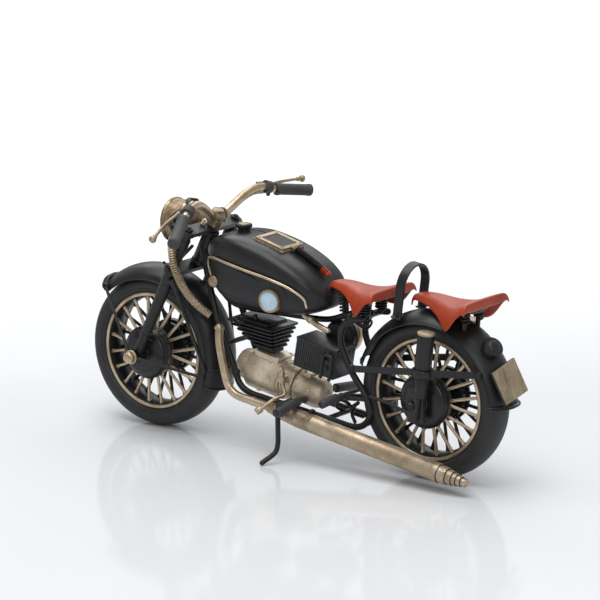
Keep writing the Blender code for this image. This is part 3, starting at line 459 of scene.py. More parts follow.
def rubber(name, tint=(0.018, 0.018, 0.0185), rough=(0.48, 0.64), grain=0.3):
    paint = Paint(name, specular=0.4)
    cloud = paint.noise(90.0, 5.0, 0.6)
    fine = paint.noise(2400.0, 4.0, 0.65)
    dusty = tuple(c * 1.9 + 0.004 for c in tint)
    base = paint.mix(paint.ramp(cloud, 0.4, 0.72, 0.0, 0.65), tint, dusty)
    mark = paint.times(paint.ramp(paint.noise(420.0, 3.0, 0.6), 0.7, 0.76), 0.35)
    base = paint.mix(mark, base, (0.085, 0.075, 0.055))
    paint.colour(base)
    paint.roughness(cloud, *rough)
    paint.bump(fine, grain, 0.0002)
    return paint.material


def scratched_plate():
    """Rubbed brass with slanting scratches."""
    paint = Paint("scratched_brass", metallic=0.7)
    cloud = paint.noise(120.0, 5.0, 0.65)
    lines = paint.noise(420.0, 5.0, 0.7, (0.3, 1.0, 0.12))
    base = paint.mix(paint.ramp(cloud, 0.4, 0.66), (0.4, 0.315, 0.205), (0.27, 0.205, 0.13))
    base = paint.mix(paint.ramp(lines, 0.56, 0.68, 0.0, 0.6), base, (0.6, 0.5, 0.36))
    base = paint.mix(paint.ramp(lines, 0.4, 0.32, 0.0, 0.7), base, (0.13, 0.09, 0.05))
    paint.colour(base)
    paint.roughness(cloud, 0.36, 0.5)
    paint.bump(lines, 0.35, 0.0002)
    return paint.material


def hammered_brass():
    paint = Paint("hammered_brass", metallic=0.85)
    dents = paint.nodes.new("ShaderNodeTexVoronoi")
    dents.feature = "SMOOTH_F1"
    dents.inputs["Scale"].default_value = 420.0
    paint.links.new(paint.where, dents.inputs["Vector"])
    cloud = paint.noise(95.0, 5.0, 0.65)
    base = paint.mix(paint.ramp(cloud, 0.36, 0.64), (0.37, 0.285, 0.175), (0.18, 0.13, 0.078))
    base = paint.mix(paint.ramp(dents.outputs["Distance"], 0.32, 0.62, 0.0, 0.5), base, (0.095, 0.067, 0.038))
    paint.colour(base)
    paint.roughness(cloud, 0.36, 0.5)
    paint.bump(dents.outputs["Distance"], 0.55, 0.0004)
    return paint.material


def enamel():
    paint = Paint("badge_enamel", roughness=0.25, coat=0.4)
    cloud = paint.noise(300.0, 4.0)
    paint.colour(paint.mix(paint.ramp(cloud, 0.35, 0.7), (0.46, 0.63, 0.75), (0.36, 0.54, 0.68)))
    paint.bump(paint.noise(1400.0), 0.08, 0.0001)
    return paint.material


def lamp_glass():
    paint = Paint("lamp_glass", roughness=0.16, specular=0.6, coat=0.5)
    flutes = paint.noise(500.0, 2.0, 0.4, (0.1, 1.0, 0.1))
    paint.colour(paint.mix(paint.ramp(flutes, 0.35, 0.65), (0.62, 0.63, 0.61), (0.48, 0.5, 0.49)))
    paint.bump(flutes, 0.4, 0.0004)
    return paint.material


BLACK = black_paint("satin_black")
# Gloss black: a real lower roughness, plus a lighter tint than satin black that is painted light for the lit
# side of the battery and the other parts it covers.
GLOSS_WITH_PAINTED_LIGHT = black_paint("gloss_black_painted_light", (0.2, 0.34), (0.0105, 0.0105, 0.011), 0.08)
DARK_GREY = black_paint("tray_grey", (0.5, 0.62), (0.025, 0.0255, 0.0255), 0.2)
PANEL = black_paint("panel_black", (0.46, 0.6), (0.0135, 0.0138, 0.0145), 0.2)
BRASS = brass_paint("pale_brass")
DULL_BRASS = brass_paint("dull_brass", (0.38, 0.295, 0.195), (0.34, 0.5), 0.7)
TUBE_BRASS = brass_paint("tube_brass", (0.5, 0.405, 0.285), (0.33, 0.47), 0.76, 0.6)
BRONZE = brass_paint("dark_bronze", (0.2, 0.15, 0.1), (0.38, 0.54), 0.6)
CASE_BRASS = brass_paint("case_brass", (0.7, 0.605, 0.46), (0.36, 0.5), 0.58, 0.6)
ORANGE = saddle_paint()
TYRE = rubber("tyre_rubber")
GRIP = rubber("grip_rubber", (0.036, 0.036, 0.0365), (0.48, 0.62), 0.8)
PLATE = scratched_plate()
HAMMERED = hammered_brass()
ENAMEL = enamel()
GLASS = lamp_glass()
dict.fromkeys((BLACK, GLOSS_WITH_PAINTED_LIGHT, DARK_GREY, PANEL, BRONZE), "black_paint")
dict.fromkeys((BRASS, DULL_BRASS, TUBE_BRASS, CASE_BRASS, PLATE, HAMMERED), "brass_paint")


# ---------------------------------------------------------------- wheels


def tyre_profile():
    points = []
    for i in range(33):
        angle = radians(-118 + 236 * i / 32)
        across = 8.8 * abs(sin(angle)) ** 0.94 * (1 if sin(angle) >= 0 else -1)
        rise = TYRE_RADIUS - 5.4 + 5.4 * (abs(cos(angle)) ** 0.9) * (1 if cos(angle) >= 0 else -1)
        points.append((rise, across))
    return points + [(RIM_RADIUS + 0.2, 6.9), (RIM_RADIUS + 0.2, -6.9)]


def build_wheel(end, x):
    body = f"{end}_wheel"
    centre = (x, 0, AXLE_Z)
    tyre = Shape().lathe(tyre_profile(), centre, Y, 144, True)
    for side in (1, -1):
        bead = [
            (32.6 + 0.3 * cos(radians(a)), side * (8.35 + 0.3 * sin(radians(a))))
            for a in range(0, 360, 45)
        ]
        tyre.lathe(bead, centre, Y, 144, True)
    build(f"{end}_tyre_rubber", tyre, TYRE, body, f"{end}_tyre", smooth=60)

    well = Shape()
    floor = [(29.6, 6.2), (27.6, 3.6), (27.2, 0.0), (27.6, -3.6), (29.6, -6.2), (30.3, -6.2), (30.3, 6.2)]
    well.lathe(floor, centre, Y, 120, True)
    build(f"{end}_rim_well", well, BLACK, body, f"{end}_rim", smooth=50)
    rings = Shape()
    for side in (1, -1):
        lip = [
            (29.55 + 0.95 * cos(radians(a)), side * (6.75 + 0.62 * sin(radians(a))))
            for a in range(0, 360, 30)
        ]
        rings.lathe(lip, centre, Y, 144, True)
    build(f"{end}_rim_rings", rings, BRASS, body, smooth=60)

    hub = Shape()
    for side in (1, -1):
        drum = [
            (1.9, 8.1), (11.8, 8.1), (12.6, 7.6), (12.8, 6.8), (12.8, 5.0), (12.2, 4.3), (6.0, 3.4),
            (5.2, 2.4), (5.0, 0.0), (1.9, 0.0)
        ]
        hub.lathe([(r, side * h) for r, h in drum], centre, Y, 72, True)
    build(f"{end}_hub_drums", hub, BLACK, body, f"{end}_hub_and_spokes", smooth=40)
    for name, side in SIDES:
        spokes = Shape()
        for pair in range(SPOKE_PAIRS):
            middle = 2 * pi * (pair + (0.0 if side > 0 else 0.5)) / SPOKE_PAIRS
            for lean in (1, -1):
                inner = middle + lean * radians(4.4)
                outer = middle + lean * radians(9.5)
                start = Vector((x + 11.8 * cos(inner), side * 6.3, AXLE_Z + 11.8 * sin(inner)))
                end_point = Vector((x + 28.4 * cos(outer), side * 4.4, AXLE_Z + 28.4 * sin(outer)))
                spokes.tube(spread([start, end_point], 6.0), 0.84, 12)
                seat = end_point - (end_point - start).normalized() * 1.4
                spokes.rod(seat, end_point, 1.15, 1.0, 12, 0.1)
        finish = BRASS if side > 0 else BLACK
        build(f"{end}_spokes_{name}", spokes, finish, body, smooth=50)


def axle_end(shape, x, y, side, radius):
    """A domed six-sided nut on a washer."""
    base = Vector((x, side * y, AXLE_Z))
    washer = radius + 0.4
    shape.lathe(
        [(0.0, 0.0), (washer, 0.0), (washer, 0.5), (radius + 0.1, 0.7), (0.0, 0.7)], base, Y * side, 40
    )
    nut = [(0.0, 0.7), (radius - 0.1, 0.7), (radius, 1.0), (radius, 2.7), (radius - 0.4, 3.1), (0.0, 3.1)]
    shape.lathe(nut, base, Y * side, 6, spin=0.3)
    dome = [(radius - 0.6, 3.0), (radius - 0.9, 3.45), (radius * 0.5, 3.8), (0.0, 3.95)]
    shape.lathe(dome, base, Y * side, 32)


def build_axles():
    front = ("front", WHEELBASE, LEG_Y + 4.6, "steering", 3.3, BRASS)
    rear = ("rear", 0.0, PLUNGER_Y + 1.2, "frame", 2.4, BLACK)
    for end, x, y, body, radius, finish in (front, rear):
        axle = Shape()
        for _, side in SIDES:
            axle_end(axle, x, y, side, radius)
        axle.rod((x, -y, AXLE_Z), (x, y, AXLE_Z), 1.55)
        build(f"{end}_axle_nuts", axle, finish, body, f"{end}_axle", 0.18, 25)


def build_brake_plates():
    for end, x, body, depth in (("front", WHEELBASE, "steering", 7.2), ("rear", 0.0, "frame", 5.6)):
        for name, side in SIDES:
            cover = Shape()
            dome = [(1.9, depth), (4.0, depth), (4.4, depth - 0.3)]
            for a in range(10, 91, 8):
                dome.append((4.6 + 8.3 * sin(radians(a)), depth - 0.3 - 2.6 * (1 - cos(radians(a)))))
            dome += [(13.3, depth - 3.4), (13.7, depth - 4.0), (13.8, 0.8), (13.5, 0.1), (1.9, 0.1)]
            centre = (x, side * 8.5, AXLE_Z)
            cover.lathe(dome, centre, Y * side, 88, True)
            cover.lathe([(9.2, depth - 1.0), (9.5, depth - 0.6), (9.8, depth - 1.1)], centre, Y * side, 72)
            if end == "rear" and side > 0:
                cover.rod((2.0, 13.0, 37.4), (3.4, 14.8, 32.6), 1.2, 1.0)
                cover.rod((3.4, 13.6, 32.8), (3.4, 16.0, 32.8), 1.5)
                cover.tube(curve([(28.7, 14.4, 38.7), (16.0, 14.6, 36.6), (3.4, 14.6, 33.0)]), 0.8, 14, True)
            build(f"{end}_cover_{name}", cover, GLOSS_WITH_PAINTED_LIGHT, body, f"{end}_brake_plate_{name}", smooth=30)


# ---------------------------------------------------------------- mudguards


def fender_rows(x, radius, start, end):
    """Rows of an arched section with a rolled lip, swept round the axle."""
    half = [(37.7, FENDER_HALF + 0.05), (FENDER_LIP_RADIUS, FENDER_HALF + 0.25), (38.3, FENDER_HALF)]
    half += [(radius - 5.0, 11.15), (radius - 4.0, 10.3), (radius - 2.9, 8.9), (radius - 1.8, 7.2)]
    half += [(radius - 1.0, 5.4), (radius - 0.4, 3.3), (radius - 0.06, 1.5)]
    profile = half + [(radius, 0.0)] + [(r, -y) for r, y in reversed(half)]
    degrees_per_row = 2.0
    count = round((end - start) / degrees_per_row)
    rows = []
    for i in range(count + 1):
        angle = radians(start + (end - start) * i / count)
        rows.append([(x + r * cos(angle), y, AXLE_Z + r * sin(angle)) for r, y in profile])
    return rows


def fender_bead(shape, x, radius, start, end, thick):
    """A wire bead along both side edges."""
    for side in (1, -1):
        line = []
        for i in range(80):
            angle = radians(start + (end - start) * i / 79)
            line.append((x + radius * cos(angle), side * (FENDER_HALF + 0.1), AXLE_Z + radius * sin(angle)))
        shape.tube(line, thick, 10)


def across_fender(shape, x, radius, angle, thick, grow=0.0):
    """A band bent over the fender's crown at one angle."""
    a = radians(angle)
    half = [(37.8, FENDER_HALF), (radius - 5.0, 11.15), (radius - 3.8, 10.0), (radius - 1.8, 7.2)]
    half += [(radius - 0.7, 4.4)]
    profile = half + [(radius, 0.0)] + [(r, -y) for r, y in reversed(half)]
    line = [
        Vector((x + (r + grow) * cos(a), y + grow * (y > 0) - grow * (y < 0), AXLE_Z + (r + grow) * sin(a)))
        for r, y in profile
    ]
    shape.tube(spread(line, 1.0), thick, 12, True)


def build_fenders():
    front = Shape().sheet(fender_rows(WHEELBASE, FRONT_FENDER_RADIUS, 50.0, 200.0))
    build("front_fender_skin", front, BLACK, "steering", "front_fender", skin=0.7, smooth=50)
    trim = Shape()
    fender_bead(trim, WHEELBASE, FENDER_LIP_RADIUS, 51.0, 199.0, 0.42)
    across_fender(trim, WHEELBASE, FRONT_FENDER_RADIUS, 50.6, 0.85, 0.7)
    across_fender(trim, WHEELBASE, FRONT_FENDER_RADIUS, 49.4, 0.6, 1.5)
    across_fender(trim, WHEELBASE, FRONT_FENDER_RADIUS, 199.5, 0.6, 0.1)
    across_fender(trim, WHEELBASE, FRONT_FENDER_RADIUS, 184.5, 0.55, 0.0)
    crown = AXLE_Z + FRONT_FENDER_RADIUS
    trim.rod((WHEELBASE - 3.0, 0, crown - 0.6), (WHEELBASE - 3.0, 0, crown + 0.9), 0.8, 0.6, 16)
    build("front_fender_trim", trim, BLACK, "steering", smooth=50)

    rear = Shape().sheet(fender_rows(0.0, REAR_FENDER_RADIUS, 20.0, 177.0))
    build("rear_fender_skin", rear, BLACK, "frame", "rear_fender", skin=0.7, smooth=50)
    trim = Shape()
    fender_bead(trim, 0.0, FENDER_LIP_RADIUS, 21.0, 176.5, 0.42)
    across_fender(trim, 0.0, REAR_FENDER_RADIUS, 20.3, 0.5, 0.0)
    across_fender(trim, 0.0, REAR_FENDER_RADIUS, 176.6, 0.7, 0.3)
    across_fender(trim, 0.0, REAR_FENDER_RADIUS, 178.0, 0.6, 1.1)
    for side in (1, -1):
        trim.coil((-20.2, side * 6.0, 80.4), (-20.6, side * 6.0, 86.4), 2.0, 0.55, 3.5)
        trim.rod((-19.8, side * 6.0, 76.6), (-20.6, side * 6.0, 87.0), 1.2)
    build("rear_fender_trim", trim, BLACK, "frame", smooth=50)


# ---------------------------------------------------------------- fork


def build_fork():
    upper, lower = HEAD_TOP - 1.4, HEAD_BOTTOM + 1.4
    crown = Shape()
    for down, depth in ((upper, 7.4), (lower, 8.0)):
        crown.block((depth, 2 * LEG_Y, 2.2), on_stem(down, 0.0, LEG_OFFSET), STEM_AHEAD, -STEM_DOWN)
        for side in (1, -1):
            middle = on_stem(down, side * LEG_Y, LEG_OFFSET)
            crown.rod(middle - STEM_DOWN * 1.15, middle + STEM_DOWN * 1.15, depth / 2 + 0.4, sides=40)
    crown.rod(on_stem(upper), on_stem(lower + 2.0), 1.75)
    for side in (1, -1):
        crown.rod(on_stem(upper, side * LEG_Y, LEG_OFFSET), on_stem(lower, side * LEG_Y, LEG_OFFSET), 2.9)
        crown.rod(
            on_stem(upper + 4, side * LEG_Y, LEG_OFFSET), on_stem(upper + 12, side * LEG_Y, LEG_OFFSET),
            3.3, 3.0
        )
        cap = on_stem(upper - 1.1, side * LEG_Y, LEG_OFFSET)
        crown.rod(cap, cap - STEM_DOWN * 1.4, 2.4, sides=6)
        crown.rod(cap - STEM_DOWN * 1.2, cap - STEM_DOWN * 2.2, 1.3, 1.0)
        root = on_stem(12.5, side * LEG_Y, LEG_OFFSET + 1.5)
        crown.tube(curve([root, (146.0, side * 15.6, 109.4), (151.5, side * 12.4, 109.2)]), 1.0, 12, True)
        crown.ball((151.8, side * 12.2, 109.2), 1.6)
    build("fork_crown_plates", crown, BLACK, "steering", "fork_crown", 0.3)

    for name, side in SIDES:
        foot = Vector((WHEELBASE, side * LEG_Y, AXLE_Z))
        top = on_stem(HEAD_BOTTOM + 2.8, side * LEG_Y, LEG_OFFSET)
        along = (top - foot).normalized()
        leg = Shape()
        length = (top - foot).length
        profile = [
            (0.0, -1.5), (1.8, -1.0), (2.5, 0.4), (2.7, 4.0), (2.95, length * 0.5), (3.15, length - 7.0)
        ]
        profile += [
            (3.2, length - 5.6), (3.55, length - 5.2), (3.55, length - 2.0), (3.2, length - 1.6),
            (3.1, length), (0.0, length)
        ]
        leg.lathe(profile, foot, along, 40)
        leg.rod(foot - Y * (side * 3.1), foot + Y * (side * 2.0), 3.9, sides=44)
        for reach in (13.5, 27.0):
            middle = foot + along * reach
            across, upward, _ = axes_along(along)
            ring = []
            for a in range(0, 361, 15):
                ring.append(middle + across * (3.0 * cos(radians(a))) + upward * (3.0 * sin(radians(a))))
            leg.tube(ring, 0.3, 8)
        boss = foot + along * 14.0 - X * 2.4
        leg.rod(boss + X, boss - X * 1.6, 1.1, 0.9, 20)
        build(f"fork_leg_{name}", leg, BLACK, "steering", f"fork_slider_{name}", smooth=35)

        stays = Shape()
        fender_y = side * (FENDER_HALF + 1.2)
        eye_y = side * (LEG_Y + 3.8)
        rear_end = Vector((133.0, fender_y, 32.2))
        brace_end = Vector((131.6, fender_y, 36.4))
        stays.rod(
            (WHEELBASE, side * (LEG_Y + 3.1), AXLE_Z), (WHEELBASE, side * (LEG_Y + 4.4), AXLE_Z), 3.3,
            sides=44
        )
        stays.tube(
            spread([Vector((172.2, eye_y, 41.4)), Vector((195.4, fender_y, 70.8))], 1.0),
            ribbed(0.8, 0.05, 1.0), 12, True
        )
        stays.tube(spread([Vector((167.6, eye_y, 39.4)), rear_end], 2.0), 0.8, 12, True)
        stays.tube(
            spread([Vector((143.8, side * (LEG_Y + 2.6), 81.0)), brace_end, rear_end], 1.0),
            ribbed(0.9, 0.06, 1.1), 12, True
        )
        ear = Vector((196.0, fender_y, 71.6))
        stays.lathe([(0.7, -0.6), (1.5, -0.6), (1.5, 0.6), (0.7, 0.6)], ear, Y, 24, True)
        stays.ball(rear_end, 1.3)
        bracket_top = Vector((145.0, side * (LEG_Y + 2.4), 83.0))
        stays.rod(bracket_top, (141.6, side * (LEG_Y + 2.4), 76.5), 1.7, 1.0, 20)
        build(f"fork_stays_{name}", stays, BLACK, "steering", f"fender_stays_{name}", smooth=50)


def build_headlamp():
    centre = Vector((154.2, 0.0, 108.8))
    bowl = Shape()
    outer = [(10.1, 6.4), (10.9, 6.6), (11.5, 6.1), (11.6, 5.2), (11.2, 4.4), (10.9, 4.2)]
    outer += [(10.9 * cos(radians(a)) ** 0.8, 4.2 - 14.3 * sin(radians(a))) for a in range(6, 90, 7)]
    outer += [(0.0, -10.1)]
    inner = [(0.0, -9.0), (6.0, -7.0), (9.4, -1.0), (9.9, 4.0)]
    bowl.lathe(inner + outer, centre, X, 80)
    build("headlamp_shell", bowl, HAMMERED, "steering", "headlamp_bowl", smooth=35)
    lens = Shape()
    face = [(0.0, 6.0), (4.0, 5.8), (7.6, 5.2), (9.6, 4.4), (9.8, 3.4), (9.4, 2.6), (0.0, 2.6)]
    lens.lathe(face, centre, X, 72)
    build("headlamp_glass", lens, GLASS, "steering", "headlamp_lens", smooth=45)
    bracket = Shape()
    for side in (1, -1):
        arc = []
        for a in range(-58, 59, 4):
            reach = 11.5
            back = X * (-1.2 - 6.4 * abs(sin(radians(a))) ** 2)
            rise = Z * (reach * sin(radians(a)) * 0.86)
            arc.append(centre + back + rise + Y * (side * reach * cos(radians(a)) * 0.96))
        bracket.tube(arc, lambda distance: 0.5 + 1.1 * sin(min(pi, pi * distance / 24.0)), 12, True)
        bracket.ball(centre + Y * (side * 11.6) - X * 1.0, 1.7, Y, 0.7)
    bracket.tube(
        curve([(146.0, 6.0, 117.6), (148.6, 3.0, 119.4), (150.4, 0.0, 119.6), (149.0, -4.0, 118.8)]), 1.5,
        14, True
    )
    build("headlamp_bracket", bracket, BLACK, "steering", smooth=50)
    cap = Shape()
    cap.rod((145.6, 8.5, 114.6), (149.6, 5.4, 117.4), 2.5, 2.2, 28)
    cap.rod((144.8, 9.1, 114.0), (145.6, 8.5, 114.6), 1.6, 2.0, 28)
    build("horn_button", cap, BRASS, "steering", bevel=0.2)


# ---------------------------------------------------------------- handlebar

GRIP_INNER = Vector((124.4, 38.2, 120.7))
GRIP_OUTER = Vector((115.9, 57.2, 115.3))
LEVER_PIVOT = Vector((129.4, 35.6, 122.4))
LEVER_TIP = Vector((124.9, 62.0, 118.6))
BAR_DROP = 5.2
BAR_DROP_AT = 60.0


def on_bar(point, side):
    """A point on one half of the bar, whose left half droops and right half rises outwards."""
    drop = BAR_DROP * (point[1] / BAR_DROP_AT) ** 2.4
    return Vector((point[0], side * point[1], point[2] - side * drop))


def build_handlebar():
    half = [(132.2, 4.9, 114.6), (130.2, 11.7, 118.8), (128.6, 18.5, 122.6), (127.2, 24.5, 124.2)]
    half += [(125.8, 31.5, 123.4), (124.6, 37.4, 120.9)]
    path = [on_bar(p, -1) for p in reversed(half)] + [Vector((132.6, 0, 113.4))]
    path += [on_bar(p, 1) for p in half]
    bar = Shape().wire(path, 1.0, 2.0, 24)
    for side in (1, -1):
        cable = [on_bar((x + 0.8, y + 0.4, z - 2.7), side) for x, y, z in half[:5]]
        bar.wire(cable, 0.2, ribbed(0.95, 0.16, 0.85), 12)
        bar.rod(on_bar((127.6, 26.4, 126.1), side), on_bar((126.6, 30.2, 125.7), side), 1.0, 0.8, 20)
    build("handlebar_tube", bar, BRASS, "steering", "handlebar", smooth=60)

    ears = Shape()
    for side in (1, -1):
        middle = on_bar((125.6, 32.4, 123.2), side)
        along = (on_bar(half[-1], side) - on_bar(half[-2], side)).normalized()
        ears.rod(middle - along * 1.6, middle + along * 2.4, 3.3)
        seat = on_bar(LEVER_PIVOT, side) - Y * (side * 2.6)
        ears.rod(middle, seat, 1.1)
        ears.rod(seat - Z * 1.6, seat + Z * 1.6, 1.5, sides=24)
        ears.rod(middle - Z * 3.0 + along * 1.0, middle - Z * 4.6 + along * 1.0, 1.2, 0.9)
    build("lever_collars", ears, GRIP, "steering", bevel=0.2)

    clamp = Shape()
    clamp.rod(on_stem(7.2), on_stem(3.6), 3.7, 3.3, 40)
    clamp.rod(on_stem(3.8), on_stem(2.6), 2.9, 2.6, 32)
    saddle_ring = [(2.1, -3.4), (2.9, -3.4), (3.1, -2.8), (3.1, 2.8), (2.9, 3.4), (2.1, 3.4)]
    clamp.lathe(saddle_ring, (132.6, 0, 113.4), Y, 40, True)
    clamp.rod((132.4, 0, 115.4), (131.8, 0, 117.4), 2.6, 3.1, 36, 0.6)
    for side in (1, -1):
        clamp.rod((131.0, side * 3.0, 111.2), (131.0, side * 4.6, 111.2), 1.2, sides=6)
        clamp.lathe(
            [(2.1, -0.5), (3.4, -0.5), (3.4, 0.5), (2.1, 0.5)], (132.4, side * 4.2, 114.2), Y, 36, True
        )
    build("bar_clamp_cast", clamp, DULL_BRASS, "steering", "bar_clamp", 0.2)

    for name, side in SIDES:
        start, end = on_bar(GRIP_INNER, side), on_bar(GRIP_OUTER, side)
        axis = (end - start).normalized()
        length = (end - start).length
        grip = Shape()
        profile = [
            (0.0, 0.0), (3.1, 0.0), (3.3, 0.3), (3.3, 1.8), (3.15, 2.2), (3.0, 2.8), (3.0, length - 2.4)
        ]
        profile += [
            (3.15, length - 2.0), (3.15, length - 0.4), (2.9, length), (1.0, length + 0.15),
            (0.0, length + 0.15)
        ]
        grip.lathe(profile, start, axis, 44)
        build(f"grip_rubber_{name}", grip, GRIP, "steering", f"grip_{name}", smooth=40)

    for label, side in (("clutch", 1), ("brake", -1)):
        pivot, tip = on_bar(LEVER_PIVOT, side), on_bar(LEVER_TIP, side)
        bow = (pivot + tip) / 2 + Vector((0.9, 0.0, 0.3))
        blade = Shape().wire([pivot, bow, tip], 0.5, lambda distance: 0.95 - 0.006 * distance, 16)
        blade.ball(pivot, 1.35)
        blade.ball(tip, 1.95, tip - bow, 0.85)
        blade.rod(tip - (tip - bow).normalized() * 3.6, tip - (tip - bow).normalized() * 1.4, 1.15, 1.3)
        build(f"{label}_lever_blade", blade, DULL_BRASS, f"{label}_lever", f"{label}_lever", smooth=50)


def build_head_fittings():
    """Small rods and springs round the steering head."""
    rods = Shape()
    rods.wire([(137.8, -2.0, 106.4), (140.4, 3.0, 104.8), (145.4, 8.2, 102.4)], 0.6, 1.15, 14)
    rods.lathe(
        [(1.0, -0.7), (1.9, -0.7), (1.9, 0.7), (1.0, 0.7)], (146.0, 8.6, 102.0), (0.2, 1.0, 0.3), 28, True
    )
    rods.rod((141.0, -5.5, 103.6), (143.4, -5.5, 100.4), 2.3, 2.0, 28)
    for side in (1, -1):
        route = [(141.8, side * 9.0, 98.5), (148.0, side * 10.4, 91.8), (151.4, side * 11.0, 87.4)]
        rods.wire(route, 0.8, 0.9, 12)
    build("head_rods", rods, BLACK, "steering", bevel=0.15, smooth=45)
    springs = Shape()
    springs.coil((136.2, 5.4, 111.6), (138.4, 5.4, 108.6), 1.1, 0.38, 4.0)
    springs.coil((136.2, -5.2, 111.8), (138.4, -5.2, 108.8), 1.1, 0.38, 4.0)
    build("head_springs", springs, BRASS, "steering", smooth=60)


HOSE_ROUTE = ((148.4, 12.4, 104.0), (146.0, 19.6, 103.4), (142.4, 25.0, 99.4), (140.4, 26.3, 92.7))
HOSE_ROUTE += ((138.7, 23.4, 83.8), (136.6, 19.0, 75.5), (132.4, 15.2, 69.2), (127.6, 12.9, 65.4))


def build_hose():
    hose = Shape().tube(curve(HOSE_ROUTE, 0.16), ribbed(1.72, 0.36, 1.12), 20)
    obj = build("flexible_hose", hose, BRASS, None, "brass_hose", smooth=60)
    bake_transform(obj)


# ---------------------------------------------------------------- frame

FRAME_LOOP = (
    (139.8, 2.6, 95.8), (135.8, 5.4, 88.2), (131.8, 7.8, 80.0), (127.2, 10.0, 70.5), (124.2, LOOP_Y, 62.8),
    (114.8, LOOP_Y, 41.2), (111.2, LOOP_Y, 32.6), (105.6, LOOP_Y, 28.6), (96.0, LOOP_Y, 27.0),
    (74.0, LOOP_Y, 24.4), (53.0, LOOP_Y, 21.8), (40.0, LOOP_Y, 20.6), (33.2, LOOP_Y, 24.0),
    (31.0, LOOP_Y, 30.5), (34.6, LOOP_Y, 38.5), (41.4, LOOP_Y, 47.0), (47.0, LOOP_Y, 57.0),
    (49.0, LOOP_Y, 64.5), (46.6, LOOP_Y, 71.4),
    (41.0, LOOP_Y, 74.6), (35.6, LOOP_Y, 75.4),
)
BACKBONE = (
    (139.6, 0.0, 95.6), (134.6, 0.0, 86.0), (130.4, 0.0, 76.6), (123.0, 0.0, 70.4), (112.0, 0.0, 68.9),
    (90.0, 0.0, 68.9), (66.0, 0.0, 69.4), (54.0, 0.0, 73.0), (46.0, 0.0, 76.0), (38.0, 0.0, 76.6),
)


def build_frame():
    tubes = Shape()
    for side in (1, -1):
        tubes.wire([flip(p, side) for p in FRAME_LOOP], 1.4, 1.65, 18)
    tubes.wire(BACKBONE, 1.6, 1.5, 18)
    for x, z in ((119.3, 51.6), (57.0, 22.3), (38.5, 20.75), (38.4, 75.2)):
        tubes.rod((x, -LOOP_Y, z), (x, LOOP_Y, z), 1.3, sides=20)
    head_top, head_bottom = on_stem(HEAD_TOP + 0.3), on_stem(HEAD_BOTTOM - 0.3)
    tubes.rod(head_top, head_bottom, 3.8, sides=44)
    for down in (HEAD_TOP + 1.4, HEAD_BOTTOM - 1.4):
        tubes.rod(on_stem(down - 1.0), on_stem(down + 1.0), 4.2, sides=44)
    tubes.block((4.4, 12.6, 1.6), (77.0, 17.1, 28.6))
    tubes.block((3.2, 2.0, 4.6), (77.0, LOOP_Y + 0.6, 26.6))
    tubes.block((4.0, 1.0, 6.2), (77.0, 23.1, 26.1))
    tubes.rod((54.2, 0, 72.4), (54.6, 0, 87.4), 1.0, sides=20)
    for side in (1, -1):
        tubes.rod((37.4, side * 7.0, 75.0), (36.3, side * 6.6, 84.6), 1.1, sides=20)
        tubes.rod((113.6, side * LOOP_Y, 38.6), (112.8, side * LOOP_Y, 36.6), 2.1, sides=24)
        tubes.rod((50.8, side * 10.2, 34.6), (34.1, side * 10.4, 35.1), 0.9, sides=16)
    build("frame_tubes", tubes, BLACK, "frame", "main_frame", smooth=50)

    springs = Shape()
    springs.coil((54.2, 0, 74.2), (54.6, 0, 86.8), 2.0, 0.55, 8.0)
    for side in (1, -1):
        springs.coil((37.3, side * 7.0, 77.2), (36.4, side * 6.6, 84.2), 2.5, 0.62, 5.0)
    springs.coil((47.0, 3.4, 75.2), (36.4, 4.4, 71.0), 2.6, 0.6, 7.0)
    build("saddle_springs", springs, BLACK, "frame", smooth=60)

    hooks = Shape()
    hook = [(56.6, -4.0, 22.8), (58.6, 0.0, 26.0), (55.0, 3.4, 30.6), (50.6, 3.0, 30.0), (49.4, 0.0, 26.4)]
    hooks.wire(hook, 0.7, 0.95, 12)
    hooks.wire([(46.3, -5.0, 21.6), (49.6, -1.0, 24.0), (47.2, 3.0, 27.8), (43.0, 4.0, 31.0)], 0.7, 1.0, 12)
    hooks.wire([(43.4, 6.0, 21.6), (45.4, 5.6, 25.4), (43.8, 6.0, 29.4)], 0.7, 0.9, 12)
    build("centre_hooks", hooks, BLACK, "frame", smooth=60)


